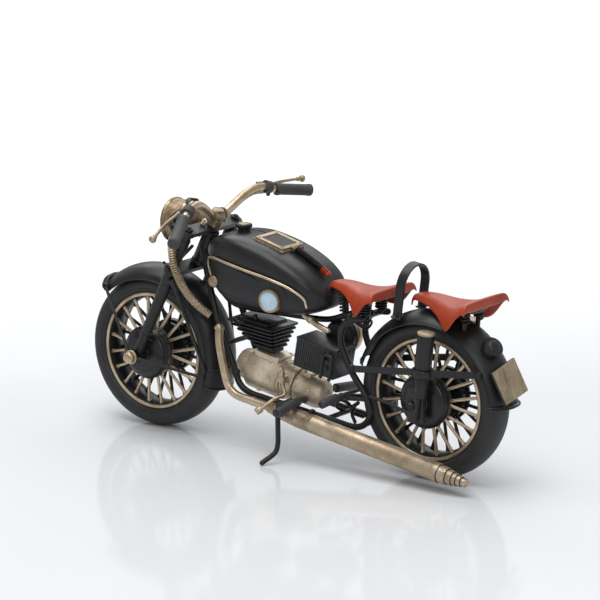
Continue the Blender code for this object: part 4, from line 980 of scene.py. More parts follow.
def build_rear_suspension():
    for name, side in SIDES:
        top = Vector((-6.6, side * PLUNGER_Y, 75.6))
        joint = Vector((-4.4, side * PLUNGER_Y, 54.6))
        foot = Vector((-3.4, side * PLUNGER_Y, 44.4))
        body = Shape()
        body.rod(top, joint, 4.15, sides=48, rounded=0.4)
        body.rod(joint + Z * 1.2, foot - Z * 0.4, 3.4, sides=44)
        body.block((9.0, 2.6, 17.0), (-1.0, side * (PLUNGER_Y - 0.6), 39.4))
        body.rod((-2.8, side * (PLUNGER_Y + 1.4), 46.0), (-1.6, side * (PLUNGER_Y + 1.4), 34.6), 1.9, 1.6, 28)
        body.ball((-1.6, side * (PLUNGER_Y + 1.4), 34.0), 1.8)
        build(f"plunger_tube_{name}", body, BLACK, "frame", f"plunger_{name}", 0.5)
        cap = Shape()
        lean = (top - joint).normalized()
        cap.lathe(
            [(0.0, 0.0), (4.4, 0.0), (4.5, 0.35), (4.3, 0.9), (3.4, 1.25), (0.0, 1.4)], top - lean * 0.2,
            lean, 44
        )
        build(f"plunger_cap_{name}", cap, DULL_BRASS, "frame")
        strap = Shape()
        y = side * PLUNGER_Y
        band = [(4.25, -1.8), (5.0, -1.8), (5.2, -1.5), (5.2, 1.5), (5.0, 1.8), (4.25, 1.8)]
        strap.lathe(band, (-4.6, y, 56.4), (-0.105, 0, 1.0), 56, True)
        for start, end in (
            ((41.0, side * 13.4, 50.6), (0.3, y, 56.0)), ((-9.4, y, 56.6), (-33.0, side * 12.6, 57.8))
        ):
            start, end = Vector(start), Vector(end)
            strap.block(((end - start).length, 0.9, 3.4), (start + end) / 2, end - start, Z)
        strap.rod((40.6, side * 12.0, 50.7), (40.6, side * 14.6, 50.7), 2.0, sides=24)
        strap.rod((-32.6, side * 11.6, 57.8), (-32.6, side * 13.8, 57.8), 1.9, sides=24)
        strap.ball((-32.6, side * 13.7, 57.8), 1.2, Y, 0.6)
        strap.ball((40.6, side * 14.5, 50.7), 1.1, Y, 0.6)
        build(f"side_strap_bar_{name}", strap, BLACK, "frame", f"side_strap_{name}", 0.18)


# ---------------------------------------------------------------- tank

TANK_TOP = ((58.5, 82.6), (60.5, 85.2), (63, 88.0), (66, 91.0), (73, 96.2), (83, 101.1), (92.6, 104.6))
TANK_TOP += ((107, 108.0), (118, 108.2), (125, 106.6), (130, 103.4), (132.4, 98.5))
TANK_BOTTOM = ((58.5, 78.5), (62, 75.2), (71.5, 71.9), (91, 70.9), (112, 71.1), (118, 72.8))
TANK_BOTTOM += ((123, 75.6), (127, 79.8), (130, 84.6), (132.4, 90.0))
TANK_WIDTH = ((58.5, 6.0), (60.5, 10.4), (65, 15.0), (72, 17.4), (82, 18.8), (94, 19.2))
TANK_WIDTH += ((110, 18.8), (121, 16.2), (128, 12.6), (132.4, 7.0))
TANK_X = (
    58.5, 59.4, 60.5, 62.4, 65.0, 68.2, 72.0, 76.0, 80.0, 84.0, 88.0, 93.0, 98.0, 103.0, 108.0, 112.0, 116.0
)
TANK_X += (120.0, 124.0, 127.0, 129.4, 131.2, 132.4)
SQUARENESS = 3.6
SHOULDER_SQUARENESS = 5.5
SHOULDER_BULGE = 1.2


def eased(x, table, reach=2.2):
    """The table's value, averaged over a short reach so that its corners round off."""
    weights = ((-1, 1), (-0.5, 2), (0, 3), (0.5, 2), (1, 1))
    return sum(between(x + reach * k, table) * w for k, w in weights) / 9


def tank_section(x):
    """One closed ring of the tank, a rounded square with fuller shoulders."""
    count = 48
    top, bottom, width = (eased(x, t) for t in (TANK_TOP, TANK_BOTTOM, TANK_WIDTH))
    ring = []
    for i in range(count):
        angle = 2 * pi * i / count
        power = SHOULDER_SQUARENESS if sin(angle) > 0 else SQUARENESS
        across = abs(cos(angle)) ** (2 / power) * (1 if cos(angle) >= 0 else -1)
        rise = abs(sin(angle)) ** (2 / power) * (1 if sin(angle) >= 0 else -1)
        half_width = width + SHOULDER_BULGE * min(1.0, max(0.0, 4 * rise))
        ring.append((x, half_width * across, (top + bottom) / 2 + rise * (top - bottom) / 2))
    return ring


def tank_side(x, z):
    """How far the tank's side stands out at one place."""
    top, bottom = eased(x, TANK_TOP), eased(x, TANK_BOTTOM)
    rise = max(-1.0, min(1.0, (z - (top + bottom) / 2) / ((top - bottom) / 2)))
    power = SHOULDER_SQUARENESS if rise > 0 else SQUARENESS
    half_width = eased(x, TANK_WIDTH) + SHOULDER_BULGE * min(1.0, max(0.0, 4 * rise))
    return half_width * (1 - abs(rise) ** power) ** (1 / power)


TRIM_LINE = ((126.6, 81.6), (129.2, 89.7), (127.6, 94.6), (122.7, 96.4), (112.1, 95.5), (99.9, 93.4))
TRIM_LINE += ((87.6, 91.3), (78.0, 88.9), (71.8, 86.4), (67.2, 82.4), (66.0, 78.2))


def build_tank():
    tank = Shape().skin([tank_section(x) for x in TANK_X])
    build("tank_shell", tank, BLACK, "frame", "fuel_tank", smooth=70, levels=1)
    seam = Shape()
    spine = [(x, 0.0, eased(x, TANK_TOP) + 0.1) for x in range(70, 130, 3)]
    seam.tube(curve([(x, -4.6, z - 0.28) for x, _, z in spine], 1.5), 0.35, 8)
    build("tank_ridge", seam, BLACK, "frame", smooth=60)
    for name, side in SIDES:
        line = [Vector((x, side * (tank_side(x, z) + 0.55), z)) for x, z in TRIM_LINE]
        trim = Shape().wire(line, 0.7, 0.72, 12)
        build(f"tank_piping_{name}", trim, BRASS, "frame", f"tank_trim_{name}", smooth=60)

        panel = Shape()
        rows = []
        upper = sorted(TRIM_LINE[2:-1], key=lambda p: p[0])
        for i in range(45):
            x = 68.4 + (126.4 - 68.4) * i / 44
            top = between(x, upper) - 0.3
            bottom = eased(x, TANK_BOTTOM) + 2.4
            row = []
            for k in range(13):
                z = bottom + (top - bottom) * k / 12
                rim = min(1.0, 5 * min(k, 12 - k, i, 44 - i) / 12)
                row.append((x, side * (tank_side(x, z) - 0.4 + 0.85 * rim), z))
            rows.append(row)
        panel.sheet(rows)
        build(f"tank_panel_{name}", panel, PANEL, "frame", smooth=60)

        knob = Shape()
        y = tank_side(123.0, 84.2)
        knob.lathe(
            [(0.0, 0.9), (3.1, 0.9), (3.3, 0.5), (3.3, -2.5), (0.0, -2.5)], (122.8, side * (y + 0.9), 84.2),
            Y * side, 40
        )
        build(f"knee_boss_{name}", knob, BLACK, "frame", bevel=0.2)
        face = Shape()
        face.lathe(
            [(0.0, 1.6), (2.0, 1.55), (2.7, 1.3), (2.9, 0.9), (2.9, 0.4), (0.0, 0.4)],
            (122.8, side * (y + 1.1), 84.2), Y * side, 40
        )
        build(f"knee_button_{name}", face, DULL_BRASS, "frame", smooth=45)

        y = tank_side(85.6, 79.6)
        centre = Vector((85.6, side * (y + 0.5), 79.6))
        lean = Vector((-0.10, side, -0.05))
        ring = Shape()
        edge = [(4.7, 1.5), (5.0, 1.8), (5.6, 1.7), (5.9, 1.1), (5.9, -0.6), (4.7, -0.6)]
        ring.lathe(edge, centre, lean, 56, True)
        build(f"badge_ring_{name}", ring, DULL_BRASS, "frame")
        disc = Shape().lathe(
            [(0.0, 1.7), (2.6, 1.6), (4.8, 1.35), (4.8, -0.4), (0.0, -0.4)], centre, lean, 56
        )
        build(f"badge_disc_{name}", disc, ENAMEL, "frame", f"badge_{name}", smooth=45)

        seams = Shape()
        for route in (
            ((119.6, 79.4), (112.0, 78.6), (106.0, 77.8)),
            ((80.8, 89.0), (77.6, 86.0), (76.4, 81.6), (77.6, 76.2)),
            ((104.6, 92.6), (97.0, 90.4), (91.0, 88.0))
        ):
            seams.wire([Vector((x, side * (tank_side(x, z) + 0.42), z)) for x, z in route], 0.8, 0.28, 8)
        build(f"panel_seams_{name}", seams, GLOSS_WITH_PAINTED_LIGHT, "frame", smooth=60)

    cap = Shape()
    cap_foot = Vector((115.8, 0, 108.5))
    profile = [
        (0.0, -1.0), (3.2, -1.0), (3.2, 0.9), (3.8, 1.2), (4.0, 1.6), (4.0, 2.8), (3.7, 3.2), (3.0, 3.3),
        (0.0, 3.3)
    ]
    cap.lathe(profile, cap_foot, Z, 56)
    for i in range(16):
        rim = cap_foot + Vector((3.95 * cos(2 * pi * i / 16), 3.95 * sin(2 * pi * i / 16), 1.5))
        cap.rod(rim, rim + Z * 1.6, 0.32, sides=8)
    build("filler_cap_black", cap, BLACK, "frame", "filler_cap", smooth=35)
    top = Shape().lathe(
        [(0.0, 3.9), (1.6, 3.85), (2.7, 3.6), (3.0, 3.3), (3.0, 3.0), (0.0, 3.0)], cap_foot, Z, 48
    )
    build("filler_cap_top", top, DULL_BRASS, "frame", smooth=45)

    turn = radians(15.0)
    ahead, up = Vector((cos(turn), 0, sin(turn))), Vector((-sin(turn), 0, cos(turn)))
    centre = Vector((94.0, 0, 105.3))
    rail = Shape()
    for a in (1, -1):
        rail.block((2.4, 17.0, 1.7), centre + ahead * (a * 7.6), ahead, up)
        rail.block((17.1, 2.4, 1.7), centre + Y * (a * 7.6), ahead, up)
    rail.block((3.0, 4.0, 2.0), centre - ahead * 9.6 + up * 0.1, ahead, up)
    rail.rod(
        centre - ahead * 9.8 - Y * 2.4 + up * 0.9, centre - ahead * 9.8 + Y * 2.4 + up * 0.9, 0.8, sides=16
    )
    build("tool_tray_rail", rail, DULL_BRASS, "frame", "tool_tray", 0.3)
    floor = Shape().block((15.4, 15.4, 1.0), centre, ahead, up)
    build("tool_tray_floor", floor, DARK_GREY, "frame", bevel=0.1)
    skirt = Shape()
    for a in (1, -1):
        side_line = [centre + Y * (a * 8.9) + ahead * d - up * 1.0 for d in (-8.8, 8.8)]
        end_line = [centre + ahead * (a * 8.8) + Y * d - up * 1.0 for d in (-8.8, 8.8)]
        skirt.tube(spread(side_line, 0.22), ribbed(0.85, 0.24, 1.2), 10, True)
        skirt.tube(spread(end_line, 0.22), ribbed(0.85, 0.24, 1.2), 10, True)
    build("tool_tray_skirt", skirt, BRONZE, "frame", smooth=60)

    line = [(83.2, 0, 102.9), (78.0, 0, 100.3), (71.0, 0, 96.6), (64.5, 0, 92.6)]
    path = curve(line, 0.14)
    cut = int(len(path) * 0.82)
    ribs = Shape().tube(path[:cut], ribbed(1.35, 0.5, 1.15), 14)
    build("spine_ribs", ribs, BLACK, "frame", "tank_spine_coil", smooth=60)
    ribs_end = Shape().tube(path[cut - 1 :], ribbed(1.4, 0.5, 1.15), 14, True)
    build("spine_ribs_end", ribs_end, ORANGE, "frame", smooth=60)


# ---------------------------------------------------------------- saddles

SEAT_WIDTH = (
    (0, 3.0), (0.05, 4.6), (0.12, 5.8), (0.3, 7.4), (0.5, 11.4), (0.66, 16.6), (0.78, 20.8), (0.88, 21.4),
    (1.0, 20.2)
)
SEAT_CROWN = ((0, -0.8), (0.06, 0.3), (0.16, 0.6), (0.3, 0.4), (0.5, -1.0), (0.65, -1.5), (0.8, -1.0))
SEAT_CROWN += ((0.92, -0.1), (1.0, 0.0))
SEAT_DROP = ((0, 2.6), (0.2, 3.8), (0.3, 4.6), (0.5, 7.2), (0.62, 10.0), (0.74, 11.4), (0.8, 9.6))
SEAT_DROP += ((0.88, 6.6), (0.94, 5.0), (1.0, 4.2))
SEATS = (("front", 60.9, 90.2, 35.0, 0.8), ("rear", 11.7, 90.4, 39.4, 2.4))


def seat_row(nose_x, top, length, lift, t):
    """Points from edge to edge across the saddle, a share t of its length behind the nose."""
    count, edge_from, edge_slope = 24, 0.86, 0.9
    widest = edge_from**0.9 + 0.126
    x = nose_x - length * t
    width = eased(t, SEAT_WIDTH, 0.05)
    crown = top + eased(t, SEAT_CROWN, 0.05) + lift * max(0.0, (t - 0.72) / 0.28) ** 1.5
    drop = eased(t, SEAT_DROP, 0.05)
    row = []
    for i in range(count + 1):
        s = -1 + 2 * i / count
        a = abs(s)
        across = a**0.9 if a < edge_from else edge_from**0.9 + (a - edge_from) * edge_slope
        fall = 0.1 * a**2 + 0.9 * max(0.0, (a - 0.34) / 0.66) ** (2.6 + 34.0 * max(0.0, t - 0.82))
        y = (1 if s >= 0 else -1) * width * across / widest
        row.append(Vector((x, y, crown - drop * fall)))
    return row


def build_saddles():
    for name, nose_x, top, length, lift in SEATS:
        rows = [seat_row(nose_x, top, length, lift, t / 28) for t in range(29)]
        tail = rows[-1]
        for back, down in ((0.7, 0.3), (1.1, 1.3), (1.2, 3.6), (1.1, 5.0)):
            rows.append([p + Vector((-back, 0, -down * (1 - 0.8 * (abs(p.y) / 21.0) ** 6))) for p in tail])
        nose = rows[0]
        rows.insert(0, [p + Vector((0.9, 0, -1.4)) for p in nose])
        rows.insert(0, [p + Vector((0.9, 0, -3.2)) for p in nose])
        seat = Shape().sheet(rows)
        build(f"saddle_skin_{name}", seat, ORANGE, "frame", f"saddle_{name}", smooth=80, levels=1, skin=1.0)
        under = Shape()
        x = nose_x - length
        for side in (1, -1):
            rail = [(nose_x - 3.0, side * 1.4, top - 4.4), (nose_x - 18.0, side * 3.0, top - 6.0)]
            rail += [(x + 5.0, side * 7.4, top - 4.4)]
            under.wire(rail, 1.2, 0.8, 12)
        bow = [(x + 4.4, -8.0, top - 4.2), (x + 3.8, 0, top - 4.6), (x + 4.4, 8.0, top - 4.2)]
        under.wire(bow, 1.2, 0.9, 12)
        build(f"saddle_rails_{name}", under, BLACK, "frame", smooth=60)


def build_grab_strap():
    half, top, base, thick = 11.2, 105.0, 79.6, 1.0
    lean = radians(7.0)
    foot = Vector((15.6, 0.0, base))
    up, ahead = Vector((-sin(lean), 0.0, cos(lean))), Vector((cos(lean), 0.0, sin(lean)))

    def spot(across, height, along):
        return foot + Y * across + up * (height - base) + ahead * along

    lines = []
    for reach in (half, half - thick):
        line = [(reach, base), (reach, base + 7.0)]
        line += [(reach * cos(pi * i / 32), top - half + reach * sin(pi * i / 32)) for i in range(33)]
        lines.append(line + [(-reach, base + 7.0), (-reach, base)])
    strap = Shape()
    rings = []
    for (yo, zo), (yi, zi) in zip(*lines):
        rings.append([spot(yo, zo, -2.4), spot(yo, zo, 2.4), spot(yi, zi, 2.4), spot(yi, zi, -2.4)])
    strap.skin(rings)
    for side in (1, -1):
        strap.block((5.4, 3.6, 0.9), spot(side * 10.6, base + 0.1, 0.0), ahead, Vector((0, side * 0.5, 1)))
        strap.rod(spot(side * 11.0, base + 1.4, 0.0), spot(side * 11.9, base + 1.6, 0.0), 1.1, 0.9, 18)
    build("grab_strap_band", strap, BLACK, "frame", "grab_strap", 0.2, 45)


def build_tail():
    behind = Vector((-0.755, 0.0, 0.656))
    lean = (behind + Y * 0.21).normalized()
    base = Vector((0.0, 0.0, AXLE_Z)) + behind * (REAR_FENDER_RADIUS + 0.1) + Y * 3.4
    lamp = Shape()
    drum = [(0.0, -1.0), (4.2, -1.0), (4.3, 0.6), (5.0, 0.9), (5.1, 1.4), (5.1, 3.6), (4.8, 4.0)]
    drum += [(4.2, 4.15), (0.0, 4.2)]
    lamp.lathe(drum, base, lean, 56)
    lamp.lathe([(0.0, 5.2), (1.8, 5.0), (3.0, 4.6), (3.5, 4.0), (0.0, 4.0)], base, lean, 44)
    build("tail_lamp_drum", lamp, BLACK, "frame", "tail_lamp", smooth=35)
    turn, roll = radians(-23.0), radians(-8.5)
    ahead = Vector((cos(turn), 0, sin(turn)))
    up = Vector((-sin(turn), 0, cos(turn))) * cos(roll) + Y * -sin(roll)
    centre = Vector((-42.8, 1.0, 54.0))
    plate = Shape().block((1.0, 21.2, 16.8), centre - ahead * 0.15, ahead, up)
    build("plate_face", plate, PLATE, "frame", "number_plate", 0.3)
    backing = Shape().block((1.0, 21.8, 17.4), centre + ahead * 0.35, ahead, up)
    axle = Vector((0.0, 0.0, AXLE_Z))
    backing.rod(axle + (centre - axle).normalized() * (REAR_FENDER_RADIUS - 0.2), centre, 1.9, sides=28)
    build("plate_backing", backing, BLACK, "frame", bevel=0.25)


# ---------------------------------------------------------------- engine


def build_engine():
    cover = Shape()
    cover.lathe(
        [(0.0, 0.7), (3.0, 0.6), (5.8, 0.2), (7.2, -0.4), (7.8, -1.4), (7.8, -6.9), (0.0, -6.9)],
        on_engine(-0.4), -ENGINE_BACK, 72
    )
    cover.lathe(
        [(0.0, 1.3), (1.6, 1.2), (2.0, 0.9), (2.0, 0.2), (0.0, 0.2)], on_engine(-0.4), -ENGINE_BACK, 6
    )
    build("timing_cap", cover, CASE_BRASS, "frame", "timing_cover", smooth=35)

    case = Shape()
    profile = [(0.0, 0.0), (9.2, 0.0), (9.8, -0.4), (10.2, -1.0), (10.2, -19.6), (10.05, -19.9), (9.7, -20.1)]
    profile += [
        (9.7, -20.5), (10.0, -20.8), (10.0, -21.6), (9.2, -22.0), (9.0, -28.2), (8.7, -28.6), (0.0, -28.6)
    ]
    case.lathe(profile, on_engine(6.9), -ENGINE_BACK, 88)
    case.block((14.6, 11.8, 2.4), on_engine(16.8, 0, 9.8), -ENGINE_BACK, ENGINE_UP)
    case.block((16.4, 13.6, 0.8), on_engine(16.8, 0, 11.0), -ENGINE_BACK, ENGINE_UP)
    for back in (10.2, 23.4):
        for side in (1, -1):
            case.rod(on_engine(back, side * 5.6, 9.6), on_engine(back, side * 5.6, 11.9), 0.9, 0.8, 20)
    for back in (10.5, 23.0):
        case.rod(on_engine(back, 9.3, 2.0), on_engine(back, 10.3, 2.1), 0.9, 0.7, 18)
    case.rod(on_engine(12.0, 0, -9.0), on_engine(12.0, 0, -11.2), 2.0, 1.8, 6)
    build("crankcase_cast", case, CASE_BRASS, "frame", "crankcase", 0.22, 35)

    box = Shape()
    profile = [
        (0.0, 0.0), (7.8, 0.0), (8.2, -0.4), (8.2, -1.6), (8.0, -2.0), (8.0, -10.6), (7.6, -13.0),
        (6.6, -15.2), (4.8, -16.8), (2.4, -17.4), (0.0, -17.5)
    ]
    box.lathe(profile, on_engine(35.8), -ENGINE_BACK, 80)
    box.block((6.0, 7.0, 2.0), on_engine(40.4, 0.6, 8.2), -ENGINE_BACK, ENGINE_UP)
    box.rod(on_engine(39.0, 2.6, 8.6), on_engine(39.0, 2.6, 10.4), 1.1, 0.9, 18)
    box.rod(on_engine(46.0, 6.4, 2.2), on_engine(46.0, 8.2, 2.6), 1.2, 1.0, 20)
    for y, up in ((5.6, 5.0), (6.8, -2.8), (4.2, -6.2)):
        box.rod(on_engine(36.4, y, up), on_engine(37.8, y * 1.12, up * 1.12), 0.9, 0.7, 16)
    build("gearbox_cast", box, CASE_BRASS, "frame", "gearbox", 0.2, 35)

    lever = Shape()
    route = [(83.2, 12.4, 41.4), (82.6, 12.6, 36.0), (81.0, 13.6, 31.4), (83.6, 18.0, 29.8)]
    route += [(88.8, 24.6, 24.4)]
    lever.wire(route, 0.8, 0.95, 16)
    lever.rod((83.2, 9.6, 38.6), (83.2, 13.8, 38.6), 2.2, 2.0, 28)
    lever.rod((83.3, 12.8, 44.6), (83.2, 12.6, 40.4), 1.4, 1.6, 24)
    lever.lathe(
        [(0.9, -0.7), (1.8, -0.7), (2.0, 0.0), (1.8, 0.7), (0.9, 0.7)], (83.4, 12.8, 43.6), X, 24, True
    )
    for z in (33.6, 34.8, 36.0, 37.2):
        lever.lathe([(0.8, -0.35), (1.5, -0.25), (1.5, 0.25), (0.8, 0.35)], (82.7, 12.7, z), Z, 20, True)
    lever.rod((87.9, 23.4, 25.4), (89.6, 25.6, 23.6), 1.9, 1.7, 16)
    build("gear_lever_rod", lever, BRASS, "frame", "gear_lever", 0.12, 45)


def build_cylinder():
    tilt = radians(5.5)
    up, ahead = Vector((0.341, 0.0, 0.940)), Vector((cos(tilt), 0.0, sin(tilt)))
    foot = Vector((99.8, 0.0, 51.0))

    def slab(height, thick, length, width, corner):
        """A plate with rounded corners and a half-round edge."""
        rings = []
        for drop in (-1.0, -0.8, -0.35, 0.0, 0.35, 0.8, 1.0):
            inset = thick * 0.5 * (1 - (1 - drop * drop) ** 0.5)
            ring = []
            for cx, cy, start in ((1, 1, 0), (-1, 1, 90), (-1, -1, 180), (1, -1, 270)):
                for a in range(0, 91, 15):
                    angle = radians(start + a)
                    x = cx * (length / 2 - corner) + (corner - inset) * cos(angle)
                    y = cy * (width / 2 - corner) + (corner - inset) * sin(angle)
                    ring.append(foot + up * (height + thick / 2 * (1 + drop)) + ahead * x + Y * y)
            rings.append(ring)
        return rings

    fins = Shape()
    for i in range(6):
        share = i / 5
        fins.skin(slab(0.5 + i * 2.35, 1.35, 14.2 + 14.0 * share, 14.0 + 10.0 * share, 1.6))
    fins.skin(slab(-2.2, 3.0, 11.0, 10.0, 1.6))
    for i in range(6):
        fins.skin(slab(0.2 + i * 2.35, 2.4, 11.0 + 9.5 * i / 5, 9.6 + 8.5 * i / 5, 2.0))
    fins.skin(slab(13.6, 1.6, 20.0, 18.0, 2.2))
    fins.rod(foot + up * 14.6 + Y * 5.0, foot + up * 17.4 + Y * 5.0, 1.6, 1.3, 24)
    build("cylinder_fin_stack", fins, GLOSS_WITH_PAINTED_LIGHT, "frame", "cylinder_fins", smooth=45)


def build_engine_fittings():
    turn = radians(10.0)
    ahead, up = Vector((cos(turn), 0, sin(turn))), Vector((-sin(turn), 0, cos(turn)))
    centre = Vector((62.6, 5.0, 52.6))
    case = Shape().block((24.6, 16.6, 15.2), centre, ahead, up)
    case.block((25.0, 17.0, 1.4), centre + up * 7.1, ahead, up)
    # The battery case takes the lighter gloss black, whose tint holds painted light on its lit side.
    build("battery_case", case, GLOSS_WITH_PAINTED_LIGHT, "frame", "battery_box", 0.4)
    ribs = Shape()
    for i in range(21):
        across = -11.4 + 22.8 * i / 20
        ribs.block((0.55, 0.5, 13.2), centre + ahead * across + Y * 8.4 - up * 0.8, ahead, up)
    build("battery_ribs", ribs, DARK_GREY, "frame", bevel=0.12)
    clamp = Shape()
    middle = centre - ahead * 8.2
    loop = [
        middle + Y * 9.4 - ahead * 2.6 - up * 7.6, middle + Y * 9.6 - ahead * 2.6 + up * 2.6,
        middle + Y * 9.6 - ahead * 1.6 + up * 4.2
    ]
    loop += [
        middle + Y * 9.6 + ahead * 1.6 + up * 4.2, middle + Y * 9.6 + ahead * 2.6 + up * 2.6,
        middle + Y * 9.4 + ahead * 2.6 - up * 7.6
    ]
    clamp.wire(loop, 0.7, 0.95, 14)
    clamp.ball(middle + Y * 9.8 + up * 4.6, 1.2, Y, 0.8)
    clamp.rod(middle + Y * 9.0 - up * 2.0, middle + Y * 10.4 - up * 2.0, 1.3, 1.1, 18)
    clamp.block((4.4, 1.0, 8.6), middle + Y * 8.9 - up * 2.6, ahead, up)
    build("battery_clamp", clamp, BLACK, "frame", bevel=0.15, smooth=50)

    filter_body = Shape()
    profile = [
        (0.0, 8.8), (5.0, 8.7), (7.2, 8.3), (8.2, 7.4), (8.4, 6.4), (8.4, 2.0), (8.8, 1.7), (8.8, 0.3),
        (8.4, 0.0), (0.0, 0.0)
    ]
    filter_body.lathe(profile, (61.0, -12.6, 60.4), Y, 64)
    build("air_cleaner_drum", filter_body, BLACK, "frame", "air_cleaner", smooth=40)
    rim = Shape()
    rim.lathe(
        [(8.5, 3.4), (9.1, 3.2), (9.4, 2.4), (9.4, 0.6), (9.2, 0.0), (8.5, 0.0)], (61.0, -12.6, 60.4), Y,
        64, True
    )
    build("air_cleaner_rim", rim, BRASS, "frame", smooth=50)
    route = [(72.6, 8.0, 72.0), (69.0, 7.6, 69.8), (64.6, 7.2, 67.6), (59.4, 6.8, 65.6)]
    pipe = Shape().wire(route, 0.8, 1.45, 18)
    pipe.rod((70.6, 7.7, 70.9), (68.6, 7.5, 69.6), 1.9, sides=6)
    build("fuel_pipe", pipe, BRASS, "frame", smooth=45)

    shaft = Shape()
    route = [
        (60.0, -5.6, 29.8), (52.0, -7.8, 30.0), (44.0, -11.2, 30.8), (36.0, -15.4, 32.8),
        (28.0, -16.6, 34.8), (12.0, -16.6, 38.6)
    ]
    shaft.wire(route, 1.2, 1.9, 24)
    shaft.lathe(
        [(1.8, -1.0), (2.6, -0.8), (2.6, 0.8), (1.8, 1.0)], (28.0, -16.6, 34.8), (16, 0, -3.8), 32, True
    )
    build("drive_shaft_tube", shaft, BLACK, "frame", "drive_shaft", smooth=50)


def build_exhaust():
    pipe = Shape()
    route = [(120.6, 14.6, 60.4), (119.6, 15.8, 52.0), (116.0, 16.2, 38.0), (113.4, 16.2, 31.2)]
    route += [(108.4, 16.2, 27.6), (98.6, 16.4, 26.0), (88.4, 16.8, 24.8)]
    pipe.wire(route, 1.0, 2.1, 26)
    pipe.rod((98.9, 16.4, 26.1), (97.5, 16.4, 25.9), 2.35, sides=32)
    pipe.rod((120.7, 14.4, 61.0), (120.6, 14.7, 59.4), 2.5, sides=32)
    build("exhaust_tube", pipe, BRASS, "frame", "exhaust_pipe", smooth=50)
    start, tail = Vector((88.1, 16.9, 24.7)), Vector((-17.2, 21.4, 9.1))
    length = (tail - start).length
    profile = [
        (0.0, 0.0), (2.2, 0.0), (2.7, -0.6), (3.2, -4.0), (3.7, -9.0), (3.9, -9.3), (3.8, -9.7),
        (4.2, -15.0), (4.45, -18.6)
    ]
    profile += [(4.6, -19.0), (4.5, -19.5), (4.6, -22.0), (4.6, -28.6), (4.75, -28.9), (4.6, -29.3)]
    profile += [
        (4.6, -length * 0.68), (4.6, -length + 3.4), (4.74, -length + 3.1), (4.74, -length + 0.5),
        (4.5, -length), (0.0, -length)
    ]
    muffler = Shape().lathe(profile, start, start - tail, 64)
    tip = [
        (4.3, 0.4), (4.2, -4.6), (4.0, -4.8), (3.75, -4.8), (3.7, -7.8), (3.5, -8.0), (3.2, -8.0),
        (3.15, -10.2)
    ]
    tip += [
        (2.95, -10.4), (2.7, -10.4), (2.65, -12.6), (2.4, -12.8), (2.05, -12.8), (2.05, -15.2), (1.8, -15.5)
    ]
    tip += [(1.2, -15.6), (0.0, -15.6)]
    muffler.lathe([(0.0, 0.4)] + tip, tail, start - tail, 48)
    build("muffler_body", muffler, TUBE_BRASS, "frame", "muffler", smooth=32)
    rings = Shape()
    along = (tail - start).normalized()
    for reach, r in (
        (length + 0.1, 4.66), (length + 4.9, 4.15), (length + 8.1, 3.62), (length + 10.5, 3.1),
        (length + 12.9, 2.5)
    ):
        rings.lathe(
            [(r - 0.5, -0.16), (r, -0.16), (r, 0.16), (r - 0.5, 0.16)], start + along * reach, along, 48,
            True
        )
    rings.block((2.0, 3.4, 3.0), start + along * 26.0 + Z * 4.6 - Y * 2.0, along, Z)
    build("muffler_joints", rings, BLACK, "frame", bevel=0.1)


def build_footpegs():
    for name, side in SIDES:
        start, end = Vector((70.7, side * 16.0, 30.2)), Vector((70.0, side * 34.6, 28.2))
        along = (end - start).normalized()
        peg = Shape()
        length = (end - start).length
        profile = [
            (0.0, 0.0), (2.1, 0.0), (2.35, 0.3), (2.35, length - 0.5), (2.1, length), (1.3, length),
            (1.1, length - 0.8), (0.0, length - 0.8)
        ]
        peg.lathe(profile, start, along, 40)
        peg.rod(end - along * 0.9, end - along * 0.1, 0.9, 0.8, 6)
        peg.rod((70.8, side * 12.4, 30.6), (70.7, side * 17.0, 30.0), 1.3, sides=24)
        peg.rod((70.8, side * 10.0, 29.6), (70.8, side * 13.0, 30.6), 1.8, 1.6, 24)
        build(f"footpeg_rubber_{name}", peg, GRIP, "frame", f"footpeg_{name}", 0.12, 40)
    bar = Shape().rod((48.0, -16.0, 35.4), (48.0, 16.0, 35.4), 1.1, sides=20)
    for side in (1, -1):
        start, end = Vector((48.0, side * 15.0, 35.4)), Vector((50.0, side * 26.0, 33.4))
        along, length = (end - start).normalized(), (end - start).length
        profile = [
            (0.0, 0.0), (1.9, 0.0), (2.1, 0.3), (2.1, length - 0.5), (1.8, length), (1.2, length),
            (1.0, length - 0.8), (0.0, length - 0.8)
        ]
        bar.lathe(profile, start, along, 36)
        bar.rod(end - along * 0.9, end - along * 0.1, 0.8, 0.7, 6)
    build("rear_peg_rubbers", bar, GRIP, "frame", "rear_footpegs", 0.12, 40)


def build_stand():
    pivot = Vector((76.6, 25.1, 25.4))
    leg = Shape()
    route = [pivot, (76.4, 25.2, 17.0), (76.2, 25.6, 9.6), (76.8, 27.4, 5.2), (79.4, 34.4, 1.3)]
    leg.wire(route, 0.7, 1.28, 20)
    leg.rod(pivot - Y * 0.9, pivot + Y * 1.6, 2.2, sides=32)
    leg.rod(pivot + Y * 1.5, pivot + Y * 2.3, 1.3, 1.1, 20)
    build("side_stand_leg", leg, BLACK, "side_stand", "side_stand", 0.2, 45)


build_wheel("front", WHEELBASE)
build_wheel("rear", 0.0)
build_axles()
build_brake_plates()
build_fenders()
build_fork()
build_headlamp()
build_handlebar()
build_head_fittings()
build_hose()
build_frame()
build_rear_suspension()
build_tank()
build_saddles()
build_grab_strap()
build_tail()
build_engine()
build_cylinder()
build_engine_fittings()
build_exhaust()
build_footpegs()
build_stand()


# ---------------------------------------------------------------- studio


